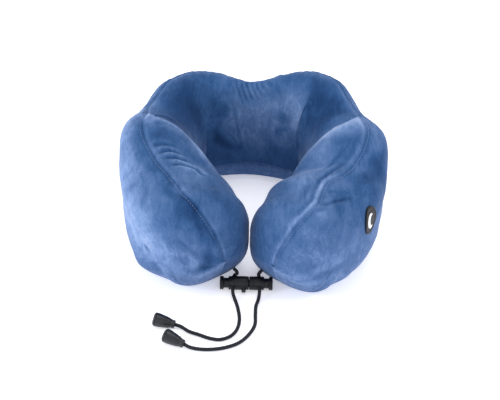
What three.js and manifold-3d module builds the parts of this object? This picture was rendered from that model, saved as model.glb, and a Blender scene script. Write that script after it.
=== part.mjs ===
// U-shaped memory foam neck pillow: two foam halves in a sewn velour cover with a zip, and a
// two-part clasp whose halves are cord locks, each on a cord that ends in a bell.
// Millimetres. +Z is up, +X to the right as seen from the arms' tips, +Y towards the back of the neck.
// The origin is the middle of the footprint, on the surface that the pillow stands on.

import * as THREE from 'three';
import { mergeVertices } from 'three/addons/utils/BufferGeometryUtils.js';
import Module from 'manifold-3d';

const wasm = await Module();
wasm.setup();

// ---- Driving dimensions, mm ----

// Sections across the pillow, from the back centre to the centre of an arm's tip. The crest, the
// base and the lean shift a section outwards: the first two as shares of its half width. The inner
// side is drawn back from the half width by `drawn`.
const STATIONS = [
  { x: 0, y: 105, halfWidth: 19.5, drawn: 0, height: 117.5, crest: 0, base: 0.14, lean: 6 },
  { x: 43, y: 101.5, halfWidth: 28, drawn: 0, height: 128, crest: 0.12, base: 0.1, lean: 8 },
  { x: 75, y: 89.5, halfWidth: 33.5, drawn: 0, height: 131.5, crest: 0.15, base: 0.25, lean: 2 },
  { x: 89, y: 50.5, halfWidth: 36, drawn: 0, height: 123.5, crest: 0.3, base: 0.32, lean: 0 },
  { x: 94, y: 5.5, halfWidth: 42, drawn: 0.5, height: 127, crest: 0.47, base: 0.2, lean: 1 },
  { x: 82, y: -37.5, halfWidth: 52, drawn: 3.2, height: 116.5, crest: 0.38, base: 0, lean: -2 },
  { x: 65, y: -66.5, halfWidth: 59.5, drawn: 5.2, height: 113.5, crest: 0.3, base: -0.05, lean: -5 },
  { x: 47.5, y: -89.5, halfWidth: 51.5, drawn: 0, height: 112.5, crest: 0.38, base: -0.15, lean: 1 },
];
const WIDEST_SHARE = 0.55; // height of a section's widest level, as a share of its height
const TOP_POWER = 2.2;
const BOTTOM_POWER = 2.9;
const TIP_LENGTH_SHARE = 0.76; // length of the round tip, as a share of the last half width
const TIP_CENTRE_SHARE = 0.42; // height of the tip's furthest point, as a share of the height
const TIP_TOP_POWER = 0.8;
const TIP_BOTTOM_POWER = 2.2;
const SOLE = 2.5; // depth of the section that the flat underside takes off

const GAP = 0.3; // between pieces that touch
const COVER_THICKNESS = 1.6;
const FOAM_INSET = 2.6;
const BASE_SEAM_HEIGHT = 21;
const BEYOND = 220; // reach of the solids that cut the cover into panels
const RUN_OUT = 60; // length of the top seam's line past the tip
const OVERRUN = 8; // reach past the middle, so that a cut leaves no wall there
const RING_POINTS = 18;
const RINGS_PER_STATION = 2;
const TIP_RINGS = 5;

// The zip lies along an arc on the left back, tilted with the skin there.
const ZIP = { x: -58, y: 67, radius: 61.3, height: 21, tilt: 0.16, start: 1.62, end: 2.9, steps: 14 };
const TAPE = { inner: 1.7, outer: 7, thickness: 0.8 };
const COIL = { halfWidth: 1.4, height: 1.9 };
const ZIP_SLOT = { halfWidth: 7.4, angle: 0.03, inside: -8, outside: 12 };
const SLIDER = { angle: 2.72, length: 8, width: 7, channelWidth: 3.4, floor: 2.2, top: 3.6 };
const BRIDGE = { length: 6, width: 1.6, height: 2.8, holeLength: 3.4, holeTop: 2 };
const PULL = { pin: 0.5, length: 17, width: 5.4, window: 2.4, windowLength: 6, thickness: 1 };
const STOP = { length: 2.4, width: 4.4, height: 2.9 };

// The clasp lies across the arms' tips. Each half is measured outwards from the joint face.
const CLASP = { jointX: 0.8, y: -104.5, z: 7.2, radius: 7, faceRadius: 6.3, chamfer: 0.8 };
const SOCKET = { length: 20.7, cavityRadius: 4.6, cavityDepth: 7.2 };
const PLUG = { length: 15.1, studRadius: 4, neckRadius: 3.2, studLength: 6.4 };
const BORE = { radius: 5.3, depth: 12.3 };
const PLUNGER = { radius: 5, inside: 7.5, neck: 4.2, capRadius: 6.9, outside: 8.6, slot: 6.5 };
const CORD_HOLE = { radius: 2.2, fromEnd: 4.5 };
const RELEASE = { x: 5.3, width: 4.2, height: 5, inner: 5.6, outer: 9.6, tilt: Math.PI / 6 };
const SPRING = { radius: 3.8, wire: 0.4, turns: 3, sides: 5, stepsPerTurn: 9, endGap: 0.8 };

// The cords' routes: out of the arm's seam, through the lock, and along the surface to the bell.
const CORD_RADIUS = 1.8;
const CORD_SIDES = 8;
const CORD_STEPS = 36;
const LEFT_CORD = [
  [-14.9, -97.9, 20.4], [-12.1, -99.9, 18.8], [-11.5, -98, 14], [-13.6, -94, 9], [-15.4, -96.5, 7.2],
  [-15.4, -100, 7.2], [-15.4, -109, 7.2], [-15.4, -112.5, 7.2], [-15, -118, 4.8], [-13, -124, 2.3],
  [-10, -136, 2.1], [-8, -153, 2.1], [-10, -167, 2.1], [-16, -177, 2.1], [-26, -182, 2.1],
  [-36, -180.5, 2.1], [-46, -176, 2.1], [-56, -171.6, 2.1], [-64.5, -165.9, 3.1], [-69.5, -164.9, 4.3],
];
const RIGHT_CORD = [
  [14.9, -97.9, 20.4], [12.1, -99.9, 18.8], [10.4, -98, 14], [10.4, -94, 9], [11.4, -96.5, 7.2],
  [11.4, -100, 7.2], [11.4, -109, 7.2], [11.4, -112.5, 7.2], [11.2, -118, 4.8], [10.2, -124, 2.3],
  [8, -133, 2.1], [7.5, -146, 2.1], [7, -161, 2.1], [1, -175, 2.1], [-8, -186, 2.1],
  [-20, -192.5, 2.1], [-33, -195.5, 2.1], [-46, -195.4, 2.1], [-54.6, -194, 3.1], [-59.3, -191.8, 4.3],
];
const BELL = { length: 19, narrow: 3.9, wide: 6.9, bore: 2.3, boreLength: 6, cavity: 5.2, wall: 1.2 };
const LID = { radius: 6.9, thickness: 3, spigot: 4.6, spigotLength: 2 };
const KNOT = { radius: 3.9, from: 8 };

const LABEL = { station: 5.62, z: 77, width: 21, height: 30, base: 0.4, top: 1.6, sides: 24 };
const CRESCENT = { radius: 6, shift: 3, innerRadius: 4.8, reach: 1.9, rings: 11, base: 1.9, top: 2.5 };

// ---- Finishes ----

const finish = (color, roughness, metalness = 0) =>
  new THREE.MeshStandardMaterial({ color, roughness, metalness });
const VELOUR = finish(0x5673a3, 0.95);
const VELOUR_INNER = finish(0x365789, 0.95);
const BASE_CLOTH = finish(0x2a3f5e, 0.95);
const FOAM = finish(0xf0ead6, 0.9);
const BLACK_PLASTIC = finish(0x20232f, 0.5);
const STEEL = finish(0xb9bcc2, 0.35, 1);
const CORD_CLOTH = finish(0x181a22, 0.9);
const TAPE_CLOTH = finish(0x2c456d, 0.9);
const ZIP_METAL = finish(0x3a3d45, 0.4, 0.8);
const LABEL_RUBBER = finish(0x15171c, 0.6);
const WHITE_PRINT = finish(0xe9ebee, 0.6);

// ---- Geometry helpers ----

function signedVolume(position, index) {
  const [a, b, c] = [new THREE.Vector3(), new THREE.Vector3(), new THREE.Vector3()];
  let volume = 0;
  for (let i = 0; i < index.count; i += 3) {
    a.fromBufferAttribute(position, index.getX(i));
    b.fromBufferAttribute(position, index.getX(i + 1));
    c.fromBufferAttribute(position, index.getX(i + 2));
    volume += a.dot(b.cross(c)) / 6;
  }
  return volume;
}

// Welds a closed surface and turns its faces outwards.
function welded(geometry) {
  geometry.deleteAttribute('normal');
  geometry.deleteAttribute('uv');
  const merged = mergeVertices(geometry, 1e-4);
  if (signedVolume(merged.attributes.position, merged.index) < 0) {
    merged.index.array.reverse();
  }
  return merged;
}

function closedMesh(points, triangles) {
  const geometry = new THREE.BufferGeometry();
  geometry.setAttribute('position', new THREE.Float32BufferAttribute(points.flat(), 3));
  geometry.setIndex(triangles.flat());
  return welded(geometry);
}

function solid(geometry) {
  const merged = welded(geometry);
  const vertProperties = merged.attributes.position.array;
  const triVerts = new Uint32Array(merged.index.array);
  return new wasm.Manifold(new wasm.Mesh({ numProp: 3, vertProperties, triVerts }));
}

function geometryOf(manifold) {
  const mesh = manifold.getMesh();
  const geometry = new THREE.BufferGeometry();
  geometry.setAttribute('position', new THREE.BufferAttribute(mesh.vertProperties, 3));
  geometry.setIndex(new THREE.BufferAttribute(mesh.triVerts, 1));
  return geometry;
}

// Joins rings of equal size into a closed solid; both ends are closed by a point or a fan.
function skinOverRings(rings, startPoint, endPoint) {
  const size = rings[0].length;
  const points = [...rings.flat(), startPoint, endPoint];
  const start = points.length - 2;
  const end = points.length - 1;
  const triangles = [];
  for (let j = 0; j < size; j++) {
    const next = (j + 1) % size;
    const last = (rings.length - 1) * size;
    triangles.push([start, next, j], [end, last + j, last + next]);
    for (let i = 0; i < rings.length - 1; i++) {
      const [a, b] = [i * size + j, i * size + next];
      triangles.push([a, b, b + size], [a, b + size, a + size]);
    }
  }
  return closedMesh(points, triangles);
}

function centreOf(points) {
  return [0, 1, 2].map((k) => points.reduce((sum, p) => sum + p[k], 0) / points.length);
}

function boxSolid(sizeX, sizeY, sizeZ, x, y, z) {
  return solid(new THREE.BoxGeometry(sizeX, sizeY, sizeZ).translate(x, y, z));
}

// A turned piece about the X axis, from [along, radius] points, at `x` and facing `side`.
function turned(profile, side, x, segments = 20) {
  const outline = profile.map(([along, radius]) => new THREE.Vector2(radius, along));
  const geometry = new THREE.LatheGeometry(outline, segments);
  geometry.rotateZ(-side * Math.PI / 2).rotateX(Math.PI / segments);
  return welded(geometry.translate(x, 0, 0));
}

// A closed [radial, z] outline swept about the zip's vertical axis.
function arcSolid(outline, from, to, steps) {
  const rings = [];
  for (let i = 0; i <= steps; i++) {
    const angle = from + (to - from) * i / steps;
    rings.push(outline.map(([r, z]) => [ZIP.x + r * Math.cos(angle), ZIP.y + r * Math.sin(angle), z]));
  }
  return skinOverRings(rings, centreOf(rings[0]), centreOf(rings[steps]));
}

function sweptCord(points) {
  const curve = new THREE.CatmullRomCurve3(points.map((p) => new THREE.Vector3(...p)));
  const section = new THREE.Shape();
  section.absarc(0, 0, CORD_RADIUS, 0, 2 * Math.PI);
  const options = { steps: CORD_STEPS, curveSegments: CORD_SIDES / 2, extrudePath: curve };
  return welded(new THREE.ExtrudeGeometry(section, options));
}

// ---- The pillow's skin ----

function stationAt(i) {
  const last = STATIONS.length - 1;
  if (i < 0) {
    return { ...STATIONS[-i], x: -STATIONS[-i].x };
  }
  if (i <= last) {
    return STATIONS[i];
  }
  const beyond = {};
  for (const key of Object.keys(STATIONS[0])) {
    beyond[key] = 2 * STATIONS[last][key] - STATIONS[last - 1][key];
  }
  return beyond;
}

// Catmull-Rom value and slope of every section measure at place t along the half path.
function sectionAt(t) {
  const i = Math.min(Math.floor(t), STATIONS.length - 2);
  const f = t - i;
  const knots = [i - 1, i, i + 1, i + 2].map(stationAt);
  const section = {};
  const slope = {};
  for (const key of Object.keys(STATIONS[0])) {
    const [p0, p1, p2, p3] = knots.map((knot) => knot[key]);
    const a = -p0 + 3 * p1 - 3 * p2 + p3;
    const b = 2 * p0 - 5 * p1 + 4 * p2 - p3;
    const c = p2 - p0;
    section[key] = (a * f ** 3 + b * f ** 2 + c * f + 2 * p1) / 2;
    slope[key] = (3 * a * f ** 2 + 2 * b * f + c) / 2;
  }
  const length = Math.hypot(slope.x, slope.y);
  section.along = [slope.x / length, slope.y / length];
  return section;
}

// A point of the section at `angle` from the outer side, set in by `inset`; `shrink` closes the tip.
function sectionPoint(section, angle, inset, shrink = 1) {
  const [c, s] = [Math.cos(angle), Math.sin(angle)];
  const power = s >= 0 ? TOP_POWER : BOTTOM_POWER;
  const widest = WIDEST_SHARE * section.height;
  const reach = s >= 0 ? section.height - inset - widest : widest - inset;
  let z = widest + Math.sign(s) * reach * Math.abs(s) ** (2 / power);
  const across = section.halfWidth - inset - (c < 0 ? section.drawn : 0);
  let out = across * Math.sign(c) * Math.abs(c) ** (2 / power);
  out += section.crest * section.halfWidth * Math.max(s, 0) ** 1.5;
  out += section.base * section.halfWidth * Math.max(-s, 0) ** 1.5;
  out += section.lean * z / section.height;
  const centre = TIP_CENTRE_SHARE * section.height;
  const closing = z > centre ? TIP_TOP_POWER : TIP_BOTTOM_POWER;
  z = centre + (z - centre) * shrink ** closing;
  out *= shrink;
  const [dx, dy] = section.along;
  return [section.x - dy * out, section.y + dx * out, Math.max(z - SOLE, inset)];
}

// Section and shrink at place t; past the last station the tip closes over one more unit of t.
function skinSection(t, inset = 0) {
  const last = STATIONS.length - 1;
  if (t <= last) {
    return [sectionAt(t), 1];
  }
  const section = sectionAt(last);
  const angle = (t - last) * Math.PI / 2;
  const ahead = (TIP_LENGTH_SHARE * section.halfWidth - inset) * Math.sin(angle);
  section.x += section.along[0] * ahead;
  section.y += section.along[1] * ahead;
  return [section, Math.cos(angle)];
}

function skinPoint(side, t, angle, inset = 0) {
  const [section, shrink] = skinSection(t, inset);
  const [x, y, z] = sectionPoint(section, angle, inset, shrink);
  return [side * x, y, z];
}

function ringPlaces() {
  const last = STATIONS.length - 1;
  const places = [];
  for (let i = 0; i <= last * RINGS_PER_STATION; i++) {
    places.push(i / RINGS_PER_STATION);
  }
  for (let i = 1; i < TIP_RINGS; i++) {
    places.push(last + i / TIP_RINGS);
  }
  return places;
}

// Half of the pillow, set in by `inset`; `overrun` carries its end face past the middle.
function halfPillow(side, inset, overrun = 0) {
  const last = STATIONS.length - 1;
  const rings = ringPlaces().map((t) => {
    const ring = [];
    for (let j = 0; j < RING_POINTS; j++) {
      ring.push(skinPoint(side, t, 2 * Math.PI * j / RING_POINTS, inset));
    }
    return ring;
  });
  rings[0].forEach((point) => {
    point[0] = side * GAP / 2;
  });
  if (overrun > 0) {
    rings.unshift(rings[0].map(([, y, z]) => [-side * overrun, y, z]));
  }
  return skinOverRings(rings, centreOf(rings[0]), skinPoint(side, last + 1, 0, inset));
}

// Everything outside the top seam, as a tall prism; `offset` moves the seam outwards.
function outsideTopSeam(side, offset) {
  const last = STATIONS.length - 1;
  const seam = [];
  for (let t = 0; t <= last + 1; t += 1 / RINGS_PER_STATION) {
    const [section, shrink] = skinSection(t);
    const out = (section.crest * section.halfWidth + section.lean) * shrink + offset;
    seam.push([section.x - section.along[1] * out, section.y + section.along[0] * out]);
  }
  const { along } = sectionAt(last);
  const [tipX, tipY] = seam.at(-1);
  seam.push([tipX + RUN_OUT * along[0], tipY + RUN_OUT * along[1]]);
  const corners = [
    [-OVERRUN, seam[0][1]], ...seam, [BEYOND, seam.at(-1)[1]], [BEYOND, BEYOND], [-OVERRUN, BEYOND],
  ];
  const shape = new THREE.Shape(corners.map(([x, y]) => new THREE.Vector2(side * x, y)));
  return solid(new THREE.ExtrudeGeometry(shape, { depth: BEYOND, bevelEnabled: false }));
}

function coverPanels(side) {
  const outside = solid(halfPillow(side, 0));
  const inside = solid(halfPillow(side, COVER_THICKNESS, OVERRUN));
  let shell = outside.subtract(inside);
  if (side < 0) {
    shell = shell.subtract(zipSlot());
  }
  const size = 2 * BEYOND;
  const below = boxSolid(size, size, size, 0, 0, BASE_SEAM_HEIGHT - GAP / 2 - size / 2);
  const above = boxSolid(size, size, size, 0, 0, BASE_SEAM_HEIGHT + GAP / 2 + size / 2);
  const upper = shell.intersect(above);
  return {
    base: geometryOf(shell.intersect(below)),
    outer: geometryOf(upper.intersect(outsideTopSeam(side, GAP / 2))),
    inner: geometryOf(upper.subtract(outsideTopSeam(side, -GAP / 2))),
  };
}

// ---- The zip ----

// Turns [off the skin, up the skin] measures at the zip into [radius, z].
function onZip([off, up]) {
  const [c, s] = [Math.cos(ZIP.tilt), Math.sin(ZIP.tilt)];
  return [ZIP.radius + off * c + up * s, ZIP.height - off * s + up * c];
}

function rectangle(off0, off1, up0, up1) {
  return [[off0, up0], [off1, up0], [off1, up1], [off0, up1]].map(onZip);
}

function zipSlot() {
  const { halfWidth, angle, inside, outside } = ZIP_SLOT;
  const outline = rectangle(inside, outside, -halfWidth, halfWidth);
  return solid(arcSolid(outline, ZIP.start - angle, ZIP.end + angle, ZIP.steps));
}

function zipTape(direction) {
  const outline = rectangle(0, TAPE.thickness, direction * TAPE.inner, direction * TAPE.outer);
  return arcSolid(outline, ZIP.start, ZIP.end, ZIP.steps);
}

function zipCoil() {
  const edge = 2 * STOP.length / ZIP.radius;
  const { halfWidth, height } = COIL;
  const outline = rectangle(0, height, -halfWidth, halfWidth);
  return arcSolid(outline, ZIP.start + edge, ZIP.end - edge, 2 * ZIP.steps);
}

// A group whose X is along the zip, Y up the skin and Z off the skin.
function zipGroup(angle, ...meshes) {
  const group = new THREE.Group();
  const along = new THREE.Vector3(-Math.sin(angle), Math.cos(angle), 0);
  const off = new THREE.Vector3(Math.cos(angle), Math.sin(angle), 0);
  off.multiplyScalar(Math.cos(ZIP.tilt)).setZ(-Math.sin(ZIP.tilt));
  const up = new THREE.Vector3().crossVectors(off, along);
  group.matrix.makeBasis(along, up, off);
  group.matrix.setPosition(
    ZIP.x + ZIP.radius * Math.cos(angle), ZIP.y + ZIP.radius * Math.sin(angle), ZIP.height);
  group.matrix.decompose(group.position, group.quaternion, group.scale);
  group.add(...meshes);
  return group;
}

function zipSlider() {
  const bottom = TAPE.thickness + GAP;
  const depth = SLIDER.top - bottom;
  const body = boxSolid(SLIDER.length, SLIDER.width, depth, 0, 0, bottom + depth / 2);
  const channel = boxSolid(
    SLIDER.length + 2, SLIDER.channelWidth, SLIDER.floor + GAP, 0, 0, (SLIDER.floor + GAP) / 2);
  const bridge = boxSolid(
    BRIDGE.length, BRIDGE.width, BRIDGE.height + 1, 0, 0, SLIDER.top + (BRIDGE.height - 1) / 2);
  const hole = boxSolid(
    BRIDGE.holeLength, BRIDGE.width + 2, BRIDGE.holeTop, 0, 0, SLIDER.top + BRIDGE.holeTop / 2);
  return geometryOf(body.subtract(channel).add(bridge).subtract(hole));
}

function pullTab() {
  const { pin, length, width, window, windowLength, thickness } = PULL;
  const height = SLIDER.top + BRIDGE.holeTop / 2;
  const plate = boxSolid(length, width, thickness, length / 2, 0, height);
  const opening = boxSolid(windowLength, window, 4, pin + windowLength / 2, 0, height);
  const bar = new THREE.CylinderGeometry(pin, pin, width, 12).translate(0, 0, height);
  return geometryOf(plate.subtract(opening).add(solid(bar)));
}

function zipStop() {
  const bottom = TAPE.thickness + GAP;
  const depth = STOP.height - bottom;
  return welded(new THREE.BoxGeometry(STOP.length, STOP.width, depth).translate(0, 0, bottom + depth / 2));
}

// ---- The clasp ----

const claspPoint = (side, along) => CLASP.jointX + side * along;

function boreEnd(length) {
  return [
    [length - 1.2, CLASP.radius], [length - 0.3, CLASP.radius - 0.4], [length, CLASP.radius - 1.1],
    [length, BORE.radius], [length - BORE.depth, BORE.radius], [length - BORE.depth, 0],
  ];
}

function cordHole(side, length) {
  const { radius, fromEnd } = CORD_HOLE;
  const hole = new THREE.CylinderGeometry(radius, radius, 30, 16);
  return solid(hole.translate(claspPoint(side, length - fromEnd), 0, 0));
}

function releaseBlock(width, height, inner, outer) {
  const depth = outer - inner;
  const block = new THREE.BoxGeometry(width, depth, height).translate(0, -inner - depth / 2, 0);
  block.rotateX(RELEASE.tilt);
  return block.translate(claspPoint(-1, RELEASE.x), 0, 0);
}

function socketBody() {
  const { length, cavityRadius, cavityDepth } = SOCKET;
  const profile = [
    [cavityDepth, 0], [cavityDepth, cavityRadius], [GAP / 2, cavityRadius],
    [GAP / 2, CLASP.faceRadius], [CLASP.chamfer, CLASP.radius], ...boreEnd(length),
  ];
  const body = solid(turned(profile, -1, CLASP.jointX));
  const { width, height } = RELEASE;
  const opening = releaseBlock(width + 2 * GAP, height + 2 * GAP, cavityRadius - 1, 12);
  return geometryOf(body.subtract(cordHole(-1, length)).subtract(solid(opening)));
}

function plugBody() {
  const { length, studRadius, neckRadius, studLength } = PLUG;
  const profile = [
    [-studLength, 0], [-studLength, studRadius - 0.7], [0.8 - studLength, studRadius],
    [2 - studLength, studRadius], [2.3 - studLength, neckRadius], [-1.6, neckRadius],
    [-1.2, studRadius], [GAP / 2, studRadius], [GAP / 2, CLASP.faceRadius],
    [CLASP.chamfer, CLASP.radius], ...boreEnd(length),
  ];
  return geometryOf(solid(turned(profile, 1, CLASP.jointX)).subtract(cordHole(1, length)));
}

function plunger(side, length) {
  const { radius, inside, neck, capRadius, outside, slot } = PLUNGER;
  const profile = [
    [length - inside, 0], [length - inside, radius - 0.4], [length - inside + 0.4, radius],
    [length + neck, radius], [length + neck + 1.6, capRadius], [length + outside - 0.6, capRadius],
    [length + outside, capRadius - 0.6], [length + outside, 0],
  ];
  const slotWidth = 2 * CORD_HOLE.radius;
  const middle = claspPoint(side, length - 0.1 - slot / 2);
  const cut = boxSolid(slot, 20, slotWidth, middle, 0, 0);
  return geometryOf(solid(turned(profile, side, CLASP.jointX)).subtract(cut));
}

function lockSpring(side, length) {
  const { radius, wire, turns, sides, stepsPerTurn, endGap } = SPRING;
  const from = length - BORE.depth + endGap;
  const height = BORE.depth - PLUNGER.inside - 2 * endGap;
  const rings = [];
  for (let i = 0; i <= turns * stepsPerTurn; i++) {
    const angle = 2 * Math.PI * i / stepsPerTurn;
    const ring = [];
    for (let j = 0; j < sides; j++) {
      const around = 2 * Math.PI * j / sides;
      const r = radius + wire * Math.cos(around);
      const along = from + height * i / (turns * stepsPerTurn) + wire * Math.sin(around);
      ring.push([claspPoint(side, along), r * Math.cos(angle), r * Math.sin(angle)]);
    }
    rings.push(ring);
  }
  return skinOverRings(rings, centreOf(rings[0]), centreOf(rings.at(-1)));
}

function releaseButton() {
  const { width, height, inner, outer } = RELEASE;
  return welded(releaseBlock(width, height, inner, outer));
}

// ---- The cords' ends ----

// A group at a cord's last point, with -X along the bell's axis, tilted to lie on the surface.
function bellGroup(cord, ...meshes) {
  const [before, end] = cord.slice(-2);
  const group = new THREE.Group();
  const heading = Math.atan2(before[1] - end[1], before[0] - end[0]);
  const rise = Math.asin((BELL.wide - BELL.narrow) / BELL.length);
  group.rotation.set(0, rise, heading, 'ZYX');
  group.position.set(end[0], end[1], end[2]);
  group.add(...meshes);
  return group;
}

function bell() {
  const { length, narrow, wide, bore, boreLength, cavity, wall } = BELL;
  return turned([
    [GAP, narrow - 0.5], [GAP + 0.6, narrow], [length * 0.5, (narrow + wide) / 2 + 0.2],
    [length, wide], [length, wide - wall], [length - 1, cavity], [boreLength, cavity],
    [boreLength, bore], [GAP, bore], [GAP, narrow - 0.5],
  ], -1, 0);
}

function bellLid() {
  const { radius, thickness, spigot, spigotLength } = LID;
  const face = BELL.length + GAP;
  return turned([
    [face - spigotLength, 0], [face - spigotLength, spigot], [face, spigot], [face, radius],
    [face + thickness - 1.6, radius - 0.4], [face + thickness - 0.4, radius - 2],
    [face + thickness, 0],
  ], -1, 0);
}

function knot() {
  const { radius, from } = KNOT;
  return welded(new THREE.SphereGeometry(radius, 10, 8).scale(1, 0.95, 0.95).translate(-from - radius, 0, 0));
}

// ---- The label ----

// The skin's outer side at place t and height z.
function outerSkinAtHeight(t, z) {
  const section = sectionAt(t);
  const widest = WIDEST_SHARE * section.height;
  const above = z + SOLE - widest;
  const share = Math.abs(above) / (above > 0 ? section.height - widest : widest);
  const angle = Math.asin(share ** ((above > 0 ? TOP_POWER : BOTTOM_POWER) / 2));
  return new THREE.Vector3(...skinPoint(1, t, Math.sign(above) * angle));
}

// A point `height` off the skin, p mm across the label and q mm up it.
function labelPoint(p, q, height) {
  const step = 0.02;
  const perT = outerSkinAtHeight(LABEL.station + step, LABEL.z)
    .distanceTo(outerSkinAtHeight(LABEL.station, LABEL.z)) / step;
  const t = LABEL.station - p / perT;
  const z = LABEL.z + q;
  const point = outerSkinAtHeight(t, z);
  const alongPath = outerSkinAtHeight(t + step, z).sub(point);
  const upwards = outerSkinAtHeight(t, z + 1).sub(point);
  const normal = upwards.cross(alongPath).normalize();
  return point.addScaledVector(normal, height).toArray();
}

function labelPatch() {
  const rings = [];
  const { width, height, base, top, sides } = LABEL;
  const steps = [[0.5, base], [1, base], [1, top], [0.5, top]];
  for (const [share, off] of steps) {
    const ring = [];
    for (let j = 0; j < sides; j++) {
      const angle = 2 * Math.PI * j / sides;
      const [p, q] = [share * width / 2 * Math.cos(angle), share * height / 2 * Math.sin(angle)];
      ring.push(labelPoint(p, q, off));
    }
    rings.push(ring);
  }
  return skinOverRings(rings, labelPoint(0, 0, base), labelPoint(0, 0, top));
}

// A crescent moon, drawn as a row of rings from its outer to its inner curve.
function labelCrescent() {
  const { radius, shift, innerRadius, reach, rings: count, base, top } = CRESCENT;
  const rings = [];
  for (let i = 1; i <= count; i++) {
    const angle = Math.PI - reach + 2 * reach * i / (count + 1);
    const outer = [radius * Math.cos(angle), radius * Math.sin(angle)];
    const inner = [shift + innerRadius * Math.cos(angle), innerRadius * Math.sin(angle)];
    const corners = [[outer, base], [inner, base], [inner, top], [outer, top]];
    rings.push(corners.map(([[p, q], off]) => labelPoint(p, q, off)));
  }
  return skinOverRings(rings, centreOf(rings[0]), centreOf(rings.at(-1)));
}

// ---- Assembly ----

function part(name, geometry, material) {
  const mesh = new THREE.Mesh(geometry, material);
  mesh.name = name;
  return mesh;
}

const pillow = new THREE.Group();
for (const [name, side] of [['left', -1], ['right', 1]]) {
  const panels = coverPanels(side);
  pillow.add(
    part(`foam_core_${name}`, halfPillow(side, FOAM_INSET), FOAM),
    part(`cover_outer_${name}`, panels.outer, VELOUR),
    part(`cover_inner_${name}`, panels.inner, VELOUR_INNER),
    part(`cover_base_${name}`, panels.base, BASE_CLOTH),
  );
}

pillow.add(
  part('zip_tape_upper', zipTape(1), TAPE_CLOTH),
  part('zip_tape_lower', zipTape(-1), TAPE_CLOTH),
  part('zip_coil', zipCoil(), BLACK_PLASTIC),
  zipGroup(SLIDER.angle,
    part('zip_slider', zipSlider(), ZIP_METAL),
    part('zip_pull_tab', pullTab(), ZIP_METAL)),
);
const stopAngle = STOP.length / ZIP.radius;
pillow.add(
  zipGroup(ZIP.start + stopAngle, part('zip_stop_start', zipStop(), ZIP_METAL)),
  zipGroup(ZIP.end - stopAngle, part('zip_stop_end', zipStop(), ZIP_METAL)),
);

const clasp = new THREE.Group();
clasp.position.set(0, CLASP.y, CLASP.z);
clasp.add(
  part('clasp_socket_body', socketBody(), BLACK_PLASTIC),
  part('clasp_plug_body', plugBody(), BLACK_PLASTIC),
  part('clasp_release_button', releaseButton(), BLACK_PLASTIC),
);
for (const [name, side, length] of [['left', -1, SOCKET.length], ['right', 1, PLUG.length]]) {
  clasp.add(
    part(`lock_plunger_${name}`, plunger(side, length), BLACK_PLASTIC),
    part(`lock_spring_${name}`, lockSpring(side, length), STEEL),
  );
}
pillow.add(clasp);

for (const [name, cord] of [['left', LEFT_CORD], ['right', RIGHT_CORD]]) {
  pillow.add(
    part(`cord_${name}`, sweptCord(cord), CORD_CLOTH),
    bellGroup(cord,
      part(`cord_bell_${name}`, bell(), BLACK_PLASTIC),
      part(`cord_bell_lid_${name}`, bellLid(), BLACK_PLASTIC),
      part(`cord_knot_${name}`, knot(), CORD_CLOTH)),
  );
}

pillow.add(
  part('label_patch', labelPatch(), LABEL_RUBBER),
  part('label_crescent', labelCrescent(), WHITE_PRINT),
);

export default pillow;
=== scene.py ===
"""U-shaped neck pillow: velour cover, seams, zip, label, a clasp of cord locks, and cords with bells."""

import math

import bmesh
import bpy
import numpy as np
from mathutils import Matrix, Vector, noise


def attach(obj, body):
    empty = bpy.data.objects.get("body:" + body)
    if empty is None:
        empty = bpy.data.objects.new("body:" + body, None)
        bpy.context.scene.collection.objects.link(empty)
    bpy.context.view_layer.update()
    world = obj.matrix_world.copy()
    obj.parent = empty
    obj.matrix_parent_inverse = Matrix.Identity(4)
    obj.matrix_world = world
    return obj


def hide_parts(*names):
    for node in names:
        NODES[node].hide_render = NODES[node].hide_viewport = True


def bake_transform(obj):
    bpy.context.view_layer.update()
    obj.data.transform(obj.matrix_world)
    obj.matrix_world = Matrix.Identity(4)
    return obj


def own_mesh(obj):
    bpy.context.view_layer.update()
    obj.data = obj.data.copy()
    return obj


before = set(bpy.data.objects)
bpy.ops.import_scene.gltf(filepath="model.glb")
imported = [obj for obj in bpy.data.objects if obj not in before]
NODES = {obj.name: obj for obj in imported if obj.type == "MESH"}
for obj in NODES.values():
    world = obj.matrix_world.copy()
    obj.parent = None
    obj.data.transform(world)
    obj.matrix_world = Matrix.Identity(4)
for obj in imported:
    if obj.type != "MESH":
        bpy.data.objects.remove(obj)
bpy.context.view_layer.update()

MM = 0.001

# ---- Sizes, mm, as in the part's source ----

# Sections from the back centre to an arm's tip: x, y, half width, height, crest, base, lean, drawn.
STATIONS = np.array([
    (0, 105, 19.5, 117.5, 0, 0.14, 6, 0),
    (43, 101.5, 28, 128, 0.12, 0.1, 8, 0),
    (75, 89.5, 33.5, 131.5, 0.15, 0.25, 2, 0),
    (89, 50.5, 36, 123.5, 0.3, 0.32, 0, 0),
    (94, 5.5, 42, 127, 0.47, 0.2, 1, 0.5),
    (82, -37.5, 52, 116.5, 0.38, 0, -2, 3.2),
    (65, -66.5, 59.5, 113.5, 0.3, -0.05, -5, 5.2),
    (47.5, -89.5, 51.5, 112.5, 0.38, -0.15, 1, 0),
])
LAST = len(STATIONS) - 1
WIDEST_SHARE = 0.55
TOP_POWER, BOTTOM_POWER = 2.2, 2.9
TIP_LENGTH_SHARE, TIP_CENTRE_SHARE = 0.76, 0.42
TIP_TOP_POWER, TIP_BOTTOM_POWER = 0.8, 2.2
SOLE = 2.5
# How the soft arms have settled at each station, right side's way: height, outwards, inner side drawn
# back, along +Y.
SETTLE_HEIGHT = np.array((0, 2.2, 2, -0.5, -1, -2.5, -0.5, -2))
SETTLE_OUT = np.array((0, -2.2, 0, 1.5, 3.2, 2.2, -2, 0.5))
SETTLE_DRAWN = np.array((0, 0, 0, 0, 1, 2, 2, 0))
SETTLE_TIP = -2.5

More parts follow.
